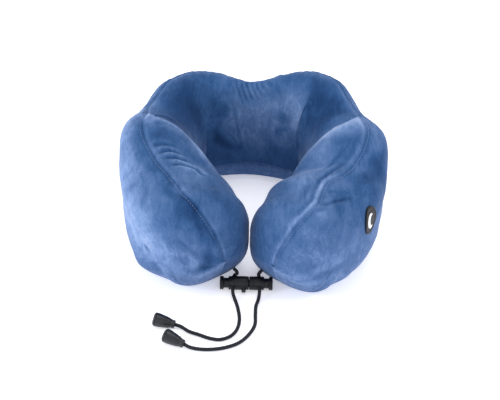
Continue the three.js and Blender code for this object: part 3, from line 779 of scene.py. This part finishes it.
# Brushed areas of the pile: place, reach, half sizes along and across in mm, and the change of nap.
BRUSHED = (
    (0.35, -48, 62, 34, 0.26), (1.55, -62, 26, 34, 0.16), (0.9, -30, 40, 12, 0.08),
    (-0.84, -80, 12, 11, -0.26), (-0.95, -52, 9, 26, -0.16), (1.02, -50, 8, 9, -0.22),
    (0.92, -66, 7, 7, -0.2), (-2.3, -20, 50, 30, -0.1), (1.9, -12, 60, 16, -0.1), (-3.2, -10, 30, 16, 0.1),
    (-4.6, -60, 46, 12, 0.16), (-4.3, -16, 24, 12, -0.12), (-5.2, -22, 30, 12, -0.04),
    (-5.8, -26, 40, 14, 0.16), (4.2, -44, 34, 20, 0.2), (4.6, -14, 34, 10, -0.1), (5.6, -34, 40, 18, 0.1),
    (-5.4, 62, 75, 26, 0.24), (-4.6, 26, 40, 14, 0.12), (-6.6, 84, 50, 18, 0.08), (-6.7, 10, 46, 7, -0.18),
    (-7.5, 6, 16, 9, -0.16), (-7.0, 52, 22, 14, -0.05), (-7.75, -14, 18, 18, 0.05),
    (-6.9, -34, 26, 14, -0.12), (-5.9, 34, 26, 12, -0.04), (4.6, 36, 60, 20, 0.1), (5.0, 20, 30, 9, -0.14),
    (6.6, 24, 22, 9, -0.18), (7.0, 52, 28, 16, -0.04), (7.35, -20, 20, 14, 0.06), (6.3, -30, 40, 14, 0.12),
    (7.6, 60, 22, 22, 0.08), (6.9, -2, 60, 6, 0.14), (4.2, 40, 60, 26, -0.22), (5.4, 46, 60, 24, -0.16),
    (3.3, 26, 30, 14, 0.12), (-3.35, 24, 26, 16, 0.16), (2.6, -26, 34, 26, -0.16),
    (-2.6, -30, 40, 40, -0.16), (-3.5, 14, 26, 20, 0.14), (3.75, -14, 20, 30, 0.16),
    (5.4, 24, 40, 16, -0.08), (4.3, 62, 60, 20, 0.14), (-7.3, 26, 34, 26, -0.1), (-4.7, 9, 50, 9, -0.1),
)


# Where an arm's inner side turns into the back's wall: a painted highlight along the arm's edge and painted
# shade on the wall beyond it.
RIMS = (
    ((-3.60, 4), (-3.76, -16), (-3.78, -35), (-3.88, -51), (-4.3, -62), (-4.9, -68)),
    ((3.36, 8), (3.62, -16), (3.68, -36), (3.70, -52), (4.0, -62), (4.7, -68)),
)


def painted_rim_highlight_and_shade():
    """Painted highlight along each arm's rim and painted shade on the wall beyond it, as a change of tone."""
    total = np.zeros(REACH.shape)
    for path in RIMS:
        distance, where = distance_to(path)
        reaches = [r for _, r in path][::-1]
        at = np.interp(REACH, reaches, [t for t, _ in path][::-1])
        arm_side = np.sign(path[0][0]) * (PLACE[:, None] - at) > 0
        fade = np.clip((10 - REACH) / 12, 0, 1) * np.clip((1 - where) / 0.15, 0, 1)
        total += fade * np.where(arm_side, 0.26 * bump(distance - 2, 11), -0.2 * bump(distance, 20))
    return total


def nap_and_painted_light():
    """Tone of the pile from 0, dark, to 1, light: its brushed lie together with painted light and shade."""
    # Partly the pile's lie and partly painted light and shade: the outer sides paler, where the side lights
    # fall on them, the arms' inner sides darker and the back's wall darkest, in the pillow's own shade.
    outer = 0.5 + 0.5 * np.tanh(REACH / 22)
    back = 0.5 + 0.5 * np.tanh((3.35 - np.abs(PLACE[:, None])) / 0.28)
    inner_tone = 0.42 * (1 - back) + 0.36 * back
    tone = inner_tone + (0.6 - inner_tone) * outer
    wander_u = 14 * perlin(SKIN, 26, 7)
    wander_v = 10 * perlin(SKIN, 21, 8)
    for t, r, wide, tall, change in BRUSHED:
        u, v = (ALONG + wander_u - t * STATION_LENGTH) / wide, (REACH + wander_v - r) / tall
        tone += change * np.exp(-(u * u + v * v) ** 1.4)
    # Darker in the crest seam's groove and just outside it, paler just inside it.
    beside_seam = -0.1 * bump(FROM_SEAM - 3.2, 2.4) - 0.08 * bump(FROM_SEAM, 1.2)
    beside_seam = beside_seam + 0.1 * bump(FROM_SEAM + 3, 2.4)
    # Painted light: the base panel's strip along the back, which lies in the pillow's shade, is made paler.
    on_back = np.clip(BACK_SEAM_END - np.abs(PLACE[:, None]), 0, 1)
    painted_light_on_base_strip = (REACH < REACH[:, INNER_SEAM:INNER_SEAM + 1]) * 0.16 * on_back
    # Painted light and shade on the creases: 0.12 of their relief makes their rolls paler and their hollows
    # darker.
    return tone + painted_rim_highlight_and_shade() + 0.12 * CREASE_RELIEF + beside_seam + painted_light_on_base_strip


def stitched_pull(distance, seed):
    """The seam's groove, its soft rolls, and small puckers that fade away from it, in mm."""
    groove = -1.0 * bump(distance, 1.2) + 0.35 * bump(np.abs(distance) - 3.2, 1.8)
    puckers = perlin(SKIN, 4.5, seed) * 1.1 * np.exp(-(np.abs(distance) / 8) ** 1.5)
    return groove + puckers * (1 - bump(distance, 1.2))


RECESS_HALF_HEIGHT, RECESS_DEPTH, RECESS_EDGE = 6.9, 1.9, 0.45


def past_zip(points):
    """How far in mm points lie past the zip's nearer end; less than nought beside it."""
    angle = np.arctan2(points[..., 1] - ZIP["y"], points[..., 0] - ZIP["x"])
    return np.maximum(ZIP["start"] - angle, angle - ZIP["end"]) * ZIP["radius"]


def zip_recess():
    """The cover steps back round the zip, with a low roll where it folds, in mm."""
    x, y, z = (SKIN[..., k] for k in range(3))
    near = (np.abs(np.hypot(x - ZIP["x"], y - ZIP["y"]) - ZIP["radius"]) < 12) & (x < 0)
    edge = np.maximum(np.abs(z - ZIP["height"]) - RECESS_HALF_HEIGHT, past_zip(SKIN))
    step = -RECESS_DEPTH / (1 + np.exp(np.clip(edge / RECESS_EDGE, -30, 30)))
    return np.where(near, step + 0.5 * bump(edge - 1.6, 1.2), 0)


LABEL = {"station": 5.62, "z": 77, "width": 21, "height": 30}


def outer_skin_at_height(t, z):
    """The settled skin's outer right side at place t and height z."""
    angles = np.linspace(-1.2, 1.3, 500)[None]
    row = skin(np.array([t]), angles, 1, 1.0)[0]
    return np.array([np.interp(z, row[:, 2], row[:, k]) for k in (0, 1)] + [z])


FAR = 99


def stands_off(points):
    """Shares by which the cover's relief calms down near the label, the zip, the clasp and the ground."""
    label = np.linalg.norm(points - outer_skin_at_height(LABEL["station"], LABEL["z"]), axis=2)
    clasp = np.linalg.norm(points - np.array((0, CLASP["y"], CLASP["z"])), axis=2)
    x, z = points[..., 0], points[..., 2]
    above_zip = np.maximum(np.abs(z - ZIP["height"]) - 7, 0)
    to_zip = np.where(x < 0, np.hypot(np.maximum(past_zip(points), 0), above_zip), FAR)
    return rise(label, 15, 24) * rise(clasp, 26, 44) * rise(to_zip, 1, 10) * rise(z, 1, 14)


# ---- Cloth simulation of the cover ----

CLOTH_ROWS_SKIP, CLOTH_COLUMNS_SKIP = 3, 2
CLOTH_FRAMES = 18
CLOTH_LIMIT = 3.5 # mm, the most that a wrinkle moves the cover
CLOTH_PRESSURE = 1.0
CLOTH_SHRINK = -0.05
WRINKLE_SHARE = 0.4
FINE_PASSES, BROAD_PASSES = 1, 16 # rounds of averaging that leave the wrinkles in, and that take them out
TIP_MARGIN = 8 # rows at each tip that take no part, since their edges are too short for the solver


def cloth_change(points):
    """Wrinkles of a cover sewn at the crest and the base and pressed out by the foam: moves in mm."""
    rows = np.arange(TIP_MARGIN, ROWS - TIP_MARGIN + 1, CLOTH_ROWS_SKIP)
    columns = COVER_COLUMNS[::CLOTH_COLUMNS_SKIP]
    coarse = points[rows][:, columns]
    flat = coarse.reshape(-1, 3) * MM
    cloth = piece("cover_cloth", flat, grid_faces(len(rows), len(columns)), VELOUR)
    sewn = np.zeros(coarse.shape[:2], bool)
    sewn[[0, -1]] = sewn[:, [0, -1]] = True
    sewn[:, columns == 0] = True
    cloth.vertex_groups.new(name="sewn").add(np.flatnonzero(sewn.ravel()).tolist(), 1.0, "REPLACE")
    modifier = cloth.modifiers.new("cloth", "CLOTH")
    settings = modifier.settings
    settings.quality = 5
    settings.mass = 0.25
    settings.tension_stiffness = 10
    settings.compression_stiffness = 3
    settings.shear_stiffness = 3
    settings.bending_stiffness = 0.03
    settings.use_pressure = True
    settings.uniform_pressure_force = CLOTH_PRESSURE
    settings.shrink_min = CLOTH_SHRINK
    settings.vertex_group_mass = "sewn"
    settings.effector_weights.gravity = 0
    modifier.point_cache.frame_start = 1
    modifier.point_cache.frame_end = CLOTH_FRAMES
    scene = bpy.context.scene
    for step in range(1, CLOTH_FRAMES + 1):
        scene.frame_set(step)
    evaluated = cloth.evaluated_get(bpy.context.evaluated_depsgraph_get())
    after = np.zeros(len(flat) * 3, np.float32)
    evaluated.data.vertices.foreach_get("co", after)
    change = after.reshape(coarse.shape) / MM - coarse
    scene.frame_set(1)
    bpy.data.objects.remove(cloth)
    change = WRINKLE_SHARE * (smoothed(change, FINE_PASSES) - smoothed(change, BROAD_PASSES))
    size = np.linalg.norm(change, axis=2, keepdims=True)
    change = change * np.minimum(1, CLOTH_LIMIT / np.maximum(size, 1e-9))
    print("cloth moved", round(float(size.mean()), 2), "mm on average, at most", round(float(size.max()), 2))
    every_row, every_column = np.arange(ROWS), np.arange(len(COVER_COLUMNS))
    down = np.interp(every_row, rows, np.arange(len(rows)))
    across = np.interp(
        every_column, np.arange(len(columns)) * CLOTH_COLUMNS_SKIP, np.arange(len(columns)))
    filled = np.zeros(points.shape)
    filled[:, COVER_COLUMNS] = spread(spread(change, down).swapaxes(0, 1), across).swapaxes(0, 1)
    to_tip = np.minimum(every_row, ROWS - 1 - every_row) / TIP_MARGIN
    return filled * np.clip(to_tip / 2.5, 0, 1)[:, None, None]


def smoothed(values, times):
    """Values averaged with their neighbours, `times` times over."""
    for _ in range(times):
        for axis in (0, 1):
            ends = [(1, 1) if k == axis else (0, 0) for k in range(3)]
            wide = np.pad(values, ends, mode="edge")
            low, high = (np.take(wide, range(k, k + values.shape[axis]), axis) for k in (0, 2))
            values = (low + 2 * values + high) / 4
    return values


def spread(values, at):
    """Values between rows, at these fractional rows."""
    low = np.minimum(np.floor(at).astype(int), len(values) - 2)
    mix = (at - low)[:, None, None]
    return values[low] * (1 - mix) + values[low + 1] * mix


SPLIT_PLACE = 3 # where the back ends and an arm begins
ARM_GAP = 0.24
# The foam's uneven swelling under the cover: height and width in mm, and seed.
SWELLS = ((1.1, 46, 1), (0.55, 21, 2), (0.22, 9, 3))


def cover_points():
    """The finished skin of the pillow in mm."""
    calm = stands_off(SKIN)
    points = SKIN.copy()
    points = points + cloth_change(SKIN) * calm[..., None]
    relief = sum(height * perlin(SKIN, size, seed) for height, size, seed in SWELLS)
    relief = relief + CREASE_RELIEF + fullness() + stitched_pull(FROM_SEAM, 5)
    relief = relief * calm + zip_recess()
    base = np.zeros((1, COLUMNS))
    base[0, OUTER_SEAM + 1:INNER_SEAM] = 1
    relief = relief * (1 - base)
    seam_gap = np.abs(REACH - REACH[:, INNER_SEAM:INNER_SEAM + 1])
    on_back = np.clip((3.6 - np.abs(PLACE[:, None])) / 0.6, 0, 1)
    relief = relief + on_back * (-1.3 * bump(seam_gap, 1.3) + 0.6 * bump(seam_gap - 3.2, 1.8) * (1 - base))
    points = points + NORMALS * relief[..., None]
    arm = np.sign(PLACE)[:, None]
    front = np.abs(PLACE[:, None]) > SPLIT_PLACE
    meeting = np.maximum(arm * points[..., 0], ARM_GAP / 2)
    points[..., 0] = np.where(front, arm * meeting, points[..., 0])
    points[..., 2] = np.maximum(points[..., 2], 0.0)
    return points


CREASE_RELIEF = creases()
COVER = cover_points()
COVER_NORMALS = grid_normals(COVER)
NAP_AND_PAINTED_LIGHT = nap_and_painted_light()
HEM = 2.2
SPLIT = RINGS_PER_STATION * SPLIT_PLACE
LEFT_SPLIT, RIGHT_SPLIT = ROWS // 2 - SPLIT, ROWS // 2 + SPLIT
SPANS = {"left": (0, LEFT_SPLIT), "back": (LEFT_SPLIT, RIGHT_SPLIT), "right": (RIGHT_SPLIT, ROWS - 1)}


def cloth_piece(name, span, columns, material):
    """A closed piece of the skin: the rows of `span` and these columns, with its edges folded in."""
    first, last = SPANS[span]
    points = COVER[first:last + 1][:, columns]
    normals = COVER_NORMALS[first:last + 1][:, columns]
    tone = NAP_AND_PAINTED_LIGHT[first:last + 1][:, columns]
    rows, count = points.shape[:2]
    folded = [points[:, k:][:, :1] - normals[:, k:][:, :1] * HEM for k in (0, -1)]
    points = np.concatenate([folded[0], points, folded[1]], 1)
    tone = np.concatenate([tone[:, :1], tone, tone[:, -1:]], 1)
    normals = np.concatenate([normals[:, :1], normals, normals[:, -1:]], 1)
    flat = np.vstack([points.reshape(-1, 3), points[0].mean(0), points[-1].mean(0)])
    made = piece(name, flat * MM, capped_faces(rows, count + 2), material)
    attribute = made.data.attributes.new("nap_and_painted_light", "FLOAT", "POINT")
    attribute.data.foreach_set("value", np.append(tone.ravel(), (0.4, 0.4)).astype(np.float32))
    made.data.attributes.new("skin_normal", "FLOAT_VECTOR", "POINT").data.foreach_set(
        "vector", np.vstack([normals.reshape(-1, 3), (0, 0, 1), (0, 0, 1)]).astype(np.float32).ravel())
    outwards(made, 5e-6)
    return made


def keep_normals(made):
    """Shades the piece with the whole skin's normals, so that no line shows where it meets the next one."""
    stored = np.zeros(len(made.data.vertices) * 3, np.float32)
    made.data.attributes["skin_normal"].data.foreach_get("vector", stored)
    stored = unit(stored.reshape(-1, 3))
    made.data.attributes.remove(made.data.attributes["skin_normal"])
    made.data.normals_split_custom_set_from_vertices([tuple(n) for n in stored])


def join_body(made, span):
    """An arm's piece rides on its side; the back's piece stays where it is."""
    if span == "back":
        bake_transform(made)
    else:
        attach(made, f"{span}_side")


BASE_PANEL_COLUMNS = np.arange(OUTER_SEAM, INNER_SEAM + 1)
STANDS_FOR = {
    "left": ("cover_outer_left", "foam_core_left"), "right": ("cover_outer_right", "foam_core_right"),
    "back": ("cover_inner_left", "cover_inner_right")}
for span in SPANS:
    cover = cloth_piece(f"velour_cover_{span}", span, COVER_COLUMNS, VELOUR)
    panel = cloth_piece(f"base_panel_{span}", span, BASE_PANEL_COLUMNS, BASE_CLOTH)
    for made, slot in ((cover, "velour"), (panel, "base_cloth")):
        keep_normals(made)
        join_body(made, span)
    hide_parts(*STANDS_FOR[span])
    if span != "back":
        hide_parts(f"cover_base_{span}")


# ---- Stitches ----

BEAD_SIZES = ("Length", "Width", "Thickness", "Spacing")


def repeat_tree(name, material):
    """A node tree that sets a rounded bead every so often along its line; its sizes are inputs in metres."""
    tree = bpy.data.node_groups.new(name, "GeometryNodeTree")
    tree.interface.new_socket("Line", in_out="INPUT", socket_type="NodeSocketGeometry")
    for label in BEAD_SIZES:
        tree.interface.new_socket(label, in_out="INPUT", socket_type="NodeSocketFloat")
    tree.interface.new_socket("Beads", in_out="OUTPUT", socket_type="NodeSocketGeometry")
    given = add(tree, "NodeGroupInput")
    line = add(tree, "GeometryNodeMeshToCurve", {"Mesh": given.outputs["Line"]})
    spaced = add(tree, "GeometryNodeResampleCurve", {
        "Curve": line.outputs[0], "Length": given.outputs["Spacing"]}, mode="LENGTH")
    tangent = add(tree, "GeometryNodeInputTangent")
    facing = add(tree, "FunctionNodeAlignRotationToVector", {"Vector": tangent.outputs[0]}, axis="X")
    size = add(tree, "ShaderNodeCombineXYZ", {
        "X": given.outputs["Length"], "Y": given.outputs["Width"], "Z": given.outputs["Thickness"]})
    bead = add(tree, "GeometryNodeMeshUVSphere", {"Segments": 8, "Rings": 5, "Radius": 0.5})
    smooth = add(tree, "GeometryNodeSetShadeSmooth", {"Geometry": bead.outputs["Mesh"]})
    set_out = add(tree, "GeometryNodeInstanceOnPoints", {
        "Points": spaced.outputs[0], "Instance": smooth.outputs[0], "Rotation": facing.outputs[0],
        "Scale": size.outputs[0]})
    real = add(tree, "GeometryNodeRealizeInstances", {"Geometry": set_out.outputs[0]})
    finished = add(tree, "GeometryNodeSetMaterial", {"Geometry": real.outputs[0], "Material": material})
    add(tree, "NodeGroupOutput", {"Beads": finished.outputs[0]})
    return tree


def beads_along(name, points, tree, sizes):
    """Beads of these sizes in mm along a line of points in mm, as a plain mesh."""
    mesh = bpy.data.meshes.new(name)
    mesh.from_pydata([tuple(p) for p in points * MM], [(i, i + 1) for i in range(len(points) - 1)], [])
    made = bpy.data.objects.new(name, mesh)
    bpy.context.scene.collection.objects.link(made)
    modifier = made.modifiers.new("beads", "NODES")
    modifier.node_group = tree
    for socket in tree.interface.items_tree:
        if socket.in_out == "INPUT" and socket.name in sizes:
            modifier[socket.identifier] = sizes[socket.name] * MM
    plain_mesh(made)
    return made


STITCH = {"Length": 2.2, "Width": 0.5, "Thickness": 0.4, "Spacing": 3.2}
STITCH_TREE = repeat_tree("stitches", THREAD)
STITCH_ABOVE_SEAM = 2.4
STITCH_OFF_COVER = 0.1


def seam_line(rows, reach, off):
    """Points on the cover at this reach in each row, `off` mm above it."""
    out = []
    for row, wanted in zip(range(rows.start, rows.stop), reach):
        columns = np.arange(0, OUTER_SEAM)
        at = np.interp(wanted, REACH[row, columns], columns)
        point = [np.interp(at, columns, COVER[row, columns, k]) for k in range(3)]
        normal = [np.interp(at, columns, COVER_NORMALS[row, columns, k]) for k in range(3)]
        out.append(np.array(point) + unit(np.array(normal)) * off)
    return np.array(out)


def stitch_rows():
    """A row of stitches just outside the crest seam and, on the back, one above the base seam."""
    for span, (first, last) in SPANS.items():
        if span == "left":
            first += TIP_MARGIN
        if span == "right":
            last -= TIP_MARGIN
        rows = slice(first, last + 1)
        reach = SEAM_REACH[rows, 0] + STITCH_ABOVE_SEAM
        lines = {"crest_stitches": seam_line(rows, reach, STITCH_OFF_COVER)}
        if span == "back":
            column = INNER_SEAM + 2
            lines["base_stitches"] = COVER[rows, column] + COVER_NORMALS[rows, column] * STITCH_OFF_COVER
        for label, points in lines.items():
            made = beads_along(f"{label}_{span}", points, STITCH_TREE, STITCH)
            join_body(made, span)


stitch_rows()


# ---- Zip ----

COIL_TURN = {"Length": 1.0, "Width": 2.9, "Thickness": 1.7, "Spacing": 1.25}
COIL_INSET = 4.8
COIL_OFF_TAPE = 1.0
COIL_POINTS = 80


def zip_coil():
    """The coil's turns, side by side along the middle of the zip."""
    edge = COIL_INSET / ZIP["radius"]
    angle = np.linspace(ZIP["start"] + edge, ZIP["end"] - edge, COIL_POINTS)
    radius = ZIP["radius"] + COIL_OFF_TAPE * math.cos(ZIP["tilt"])
    height = ZIP["height"] - COIL_OFF_TAPE * math.sin(ZIP["tilt"])
    line = np.stack([
        ZIP["x"] + radius * np.cos(angle), ZIP["y"] + radius * np.sin(angle), 0 * angle + height], 1)
    made = beads_along("zip_teeth", line, repeat_tree("coil_turns", ZIP_COIL), COIL_TURN)
    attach(made, "left_side")
    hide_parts("zip_coil")


zip_coil()


# ---- Clasp ----

def clasp_place(side):
    def place(points):
        return points * np.array((side, side, 1)) + np.array((CLASP["x"], CLASP["y"], CLASP["z"]))
    return place


SHARP_ANGLE = math.radians(32)


def cut(made, cutters):
    """Cuts closed cutters out of a piece and leaves it a plain mesh."""
    for cutter in cutters:
        modifier = made.modifiers.new("cut", "BOOLEAN")
        modifier.object = cutter
        modifier.operation = "DIFFERENCE"
        modifier.solver = "EXACT"
    plain_mesh(made)
    for cutter in cutters:
        bpy.data.objects.remove(cutter)
    made.data.shade_smooth()
    made.data.set_sharp_from_angle(angle=SHARP_ANGLE)


def rod(name, centre, axis, radius, length):
    """A round cutter in mm."""
    direction = unit(np.array(axis, float))
    side = unit(np.cross(direction, (0.2, 0.3, 1)))
    other = np.cross(direction, side)

    def place(points):
        return points[:, :1] * direction + points[:, 1:2] * side + points[:, 2:] * other + np.array(centre)
    half = length / 2
    return lathe(name, [(-half, 0), (-half, radius), (half, radius), (half, 0)], ACETAL, place, 32)


def block(name, centre, size, tilt=0.0):
    """A box in mm, turned by `tilt` about X."""
    corners = np.array([(x, y, z) for x in (-1, 1) for y in (-1, 1) for z in (-1, 1)]) * np.array(size) / 2
    turn = np.array(Matrix.Rotation(tilt, 3, "X"))
    faces = [(0, 1, 3, 2), (4, 6, 7, 5), (0, 4, 5, 1), (2, 3, 7, 6), (0, 2, 6, 4), (1, 5, 7, 3)]
    return outwards(piece(name, (corners @ turn.T + np.array(centre)) * MM, faces, ACETAL, smooth=False))


BODY = 7.0
GROOVE = 6.6


def bore_end(length):
    """Outline of a clasp half's outer end: a groove, a rounded rim, and the bore down to its floor."""
    return [
        (length - 3.2, BODY), (length - 2.8, GROOVE), (length - 2.2, GROOVE), (length - 1.8, BODY),
        (length - 0.5, 6.8), (length, 6.0), (length, BORE_RADIUS),
        (length - BORE_DEPTH, BORE_RADIUS), (length - BORE_DEPTH, 0)]


def ride_black(made, body, node):
    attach(made, body)
    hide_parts(node)


RELEASE = {"x": 5.3, "width": 4.2, "height": 5.0, "inner": 5.6, "outer": 9.6, "tilt": math.pi / 6}


def release_centre(inner, outer):
    reach = (inner + outer) / 2
    return np.array((
        CLASP["x"] - RELEASE["x"], CLASP["y"] - reach * math.cos(RELEASE["tilt"]),
        CLASP["z"] - reach * math.sin(RELEASE["tilt"])))


def ribs(*places):
    """Outline points of shallow grooves round a body at these distances."""
    out = []
    for at in places:
        out += [(at - 0.45, BODY), (at - 0.25, 6.65), (at + 0.25, 6.65), (at + 0.45, BODY)]
    return out


HALVES = (("left", -1, SOCKET_LENGTH), ("right", 1, PLUG_LENGTH))
FACE = [(0.15, 4.6), (0.15, 6.1), (0.9, BODY)]
CORD_HOLE = {"from_end": 4.5, "radius": 2.2}
WINDOW = {"inner": 3.6, "outer": 12, "play": 0.6}
SLOT = {"from_end": 3.35, "size": (6.5, 20, 4.4)}


def clasp_halves():
    """The socket with the button's window, and the plug with its stud; a hole in each takes the cord."""
    socket = lathe("clasp_socket", rounded([
        (7.2, 0), (7.2, 4.6), *FACE, *ribs(2.2), *bore_end(SOCKET_LENGTH)], 0.2), ACETAL, clasp_place(-1))
    plug = lathe("clasp_plug", rounded([
        (-6.4, 0), (-6.4, 3.3), (-5.6, 4.0), (-4.4, 4.0), (-4.1, 3.2), (-1.6, 3.2), (-1.2, 4.0), (0.15, 4.0),
        *FACE[1:], *ribs(2.6, 4.6), *bore_end(PLUG_LENGTH)], 0.2), ACETAL, clasp_place(1))
    for made, (_, side, length) in zip((socket, plug), HALVES):
        x = CLASP["x"] + side * (length - CORD_HOLE["from_end"])
        cutters = [rod("hole", (x, CLASP["y"], CLASP["z"]), (0, 1, 0), CORD_HOLE["radius"], 40)]
        if made is socket:
            inner, outer, play = WINDOW["inner"], WINDOW["outer"], WINDOW["play"]
            size = (RELEASE["width"] + play, outer - inner, RELEASE["height"] + play)
            cutters.append(block("window", release_centre(inner, outer), size, RELEASE["tilt"]))
        cut(made, cutters)
    ride_black(socket, "left_side", "clasp_socket_body")
    ride_black(plug, "right_side", "clasp_plug_body")


def plunger(name, side, length):
    """A hollow rod that slides in the bore, with a ribbed head outside and a slot that the cord passes."""
    end = length + 8.6
    back = length - PLUNGER_INSIDE
    made = lathe(f"plunger_{name}", rounded([
        (back, 0), (back, 4.6), (length - 7.1, 5.0), (length + 4.0, 5.0), (length + 4.5, 5.4),
        (length + 5.2, 6.9), (length + 6.2, 6.9), (length + 6.4, 6.5), (length + 7.0, 6.5),
        (length + 7.2, 6.9), (end - 0.5, 6.9), (end, 6.2), (end, 4.6), (end - 0.5, 4.2), (end - 0.5, 0)],
        0.25), ACETAL, clasp_place(side))
    x = CLASP["x"] + side * (length - SLOT["from_end"])
    cut(made, [block("slot", (x, CLASP["y"], CLASP["z"]), SLOT["size"])])
    ride_black(made, f"plunger_{name}", f"lock_plunger_{name}")


def release_button():
    """The push button: a block with rounded edges."""
    inner, outer = RELEASE["inner"], RELEASE["outer"]
    size = (RELEASE["width"], outer - inner, RELEASE["height"])
    made = block("release_button", release_centre(inner, outer), size, RELEASE["tilt"])
    bevel = made.modifiers.new("edges", "BEVEL")
    bevel.width = 0.6 * MM
    bevel.segments = 3
    plain_mesh(made)
    made.data.shade_smooth()
    ride_black(made, "release", "clasp_release_button")


clasp_halves()
for half in HALVES:
    plunger(*half)
release_button()


# ---- Label ----

def label_point(p, q, off):
    """A point `off` mm off the skin, p mm across the label and q mm up it."""
    step = 0.02
    station, z = LABEL["station"], LABEL["z"]
    per_t = np.linalg.norm(outer_skin_at_height(station + step, z) - outer_skin_at_height(station, z)) / step
    t = station - p / per_t
    here = outer_skin_at_height(t, z + q)
    ahead = outer_skin_at_height(t + step, z + q) - here
    upwards = outer_skin_at_height(t, z + q + 1) - here
    return here + unit(np.cross(upwards, ahead)) * off


def label_rings(rings, name, material, node):
    """Closed rings of label points, from the back's middle to the face's middle."""
    count = len(rings[0])
    points = np.array([label_point(*p) for ring in rings for p in ring])
    points = np.vstack([points, points[:count].mean(0), points[-count:].mean(0)])
    made = outwards(piece(name, points * MM, capped_faces(len(rings), count), material))
    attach(made, "right_side")
    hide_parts(node)


# The label's outline from its back to its face: share of the half size, and mm off the skin.
LABEL_OUTLINE = (
    (0.5, 0.4), (1, 0.4), (1.0, 1.2), (0.985, 1.7), (0.94, 2.0),
    (0.88, 1.9), (0.84, 1.55), (0.6, 1.5), (0.3, 1.5),
)
# The crescent's outer and inner curves, each a middle and half sizes, its sweep, and its foot and top.
CRESCENT_CURVES = ((0, 6.2, 8.2), (2.4, 4.4, 6.2))
CRESCENT_SWEEP, CRESCENT_RINGS = 3.8, 26
CRESCENT_FOOT, CRESCENT_TOP = 1.52, 2.1


def make_label():
    """An oval patch with a raised rim, and a crescent printed on its face."""
    angles = 2 * np.pi * np.arange(64) / 64
    half_width, half_height = LABEL["width"] / 2, LABEL["height"] / 2
    oval = []
    for share, off in LABEL_OUTLINE:
        wide, tall = share * half_width, share * half_height
        oval.append([(wide * math.cos(a), tall * math.sin(a), off) for a in angles])
    label_rings(oval, "oval_label", LABEL_RUBBER, "label_patch")
    rings = []
    for i in range(1, CRESCENT_RINGS):
        a = math.pi + CRESCENT_SWEEP * (i / CRESCENT_RINGS - 0.5)
        outer, inner = ((x + wide * math.cos(a), tall * math.sin(a)) for x, wide, tall in CRESCENT_CURVES)
        rings.append([
            (*outer, CRESCENT_FOOT), (*inner, CRESCENT_FOOT), (*inner, CRESCENT_TOP), (*outer, CRESCENT_TOP)])
    label_rings(rings, "label_moon", WHITE_INK, "label_crescent")


make_label()


# ---- Lock springs ----

SPRING = {"radius": 3.8, "wire": 0.4, "turns": 3, "end_gap": 0.8}
SPRING_STEPS_PER_TURN, WIRE_SIDES = 32, 10


def lock_spring(name, side, length):
    """A coil between the bore's floor and the plunger."""
    floor = length - BORE_DEPTH + SPRING["end_gap"] + SPRING["wire"]
    end = length - PLUNGER_INSIDE - SPRING["end_gap"] - SPRING["wire"]
    count = SPRING["turns"] * SPRING_STEPS_PER_TURN
    share = np.linspace(0, 1, count + 1)
    turn = 2 * np.pi * SPRING["turns"] * share
    reach = SPRING["radius"]
    centre = np.stack([floor + (end - floor) * share, reach * np.cos(turn), reach * np.sin(turn)], 1)
    tangent = unit(np.gradient(centre, axis=0))
    outward = np.stack([0 * turn, np.cos(turn), np.sin(turn)], 1)
    other = unit(np.cross(tangent, outward))
    angle = 2 * np.pi * np.arange(WIRE_SIDES) / WIRE_SIDES
    ring = np.cos(angle)[None, :, None] * outward[:, None] + np.sin(angle)[None, :, None] * other[:, None]
    points = np.vstack([(centre[:, None] + SPRING["wire"] * ring).reshape(-1, 3), centre[:1], centre[-1:]])
    faces = capped_faces(count + 1, WIRE_SIDES)
    place = clasp_place(side)
    made = outwards(piece(f"coil_spring_{name}", place(points) * MM, faces, SPRING_STEEL))
    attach(made, f"{name}_side")
    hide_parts(f"lock_spring_{name}")
    anchor = place(np.array([[length - BORE_DEPTH + SPRING["end_gap"], 0, 0]]))[0] * MM
    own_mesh(made)


for half in HALVES:
    lock_spring(*half)


# ---- CAD pieces that keep their shape ----

KEPT = {
    "zip_tape_upper": ZIP_TAPE, "zip_tape_lower": ZIP_TAPE,
    "zip_slider": ZIP_METAL, "zip_pull_tab": ZIP_METAL,
    "zip_stop_start": ZIP_METAL, "zip_stop_end": ZIP_METAL, "cord_knot_left": BRAID, "cord_knot_right": BRAID,
}
for node, material in KEPT.items():
    for slot in NODES[node].material_slots:
        slot.material = material


# ---- Floor and light ----

FLOOR_HALF, FLOOR_LEVEL = 4, -0.0002
LIT_POINT = Vector((0, 0, 0.05))
# Name, place, width and power of each white light.
LIGHTS = (
    ("left_box", (-1.3, -0.5, 0.6), 0.8, 13),
    ("right_box", (1.3, -0.2, 0.8), 0.8, 7),
    ("overhead", (0.0, 0.3, 1.6), 1.0, 9),
    ("front_fill", (0.1, -1.6, 0.9), 1.2, 4),
)


def studio():
    """A lit board under the pillow and soft boxes round it."""
    corners = [(x * FLOOR_HALF, y * FLOOR_HALF, FLOOR_LEVEL) for x, y in ((-1, -1), (1, -1), (1, 1), (-1, 1))]
    floor = piece("floor", corners, [(0, 1, 2, 3)], BOARD)
    world = bpy.data.worlds.new("studio")
    bpy.context.scene.world = world
    world.use_nodes = True
    background = world.node_tree.nodes["Background"]
    background.inputs["Color"].default_value = linear("#fbfbff")
    background.inputs["Strength"].default_value = 0.8
    for name, place, size, power in LIGHTS:
        data = bpy.data.lights.new(name, "AREA")
        data.size = size
        data.energy = power
        lamp = bpy.data.objects.new(name, data)
        bpy.context.scene.collection.objects.link(lamp)
        lamp.location = place
        lamp.rotation_mode = "QUATERNION"
        lamp.rotation_quaternion = (LIT_POINT - Vector(place)).to_track_quat("-Z", "Y")
    bpy.context.scene.view_settings.view_transform = "Standard"


studio()
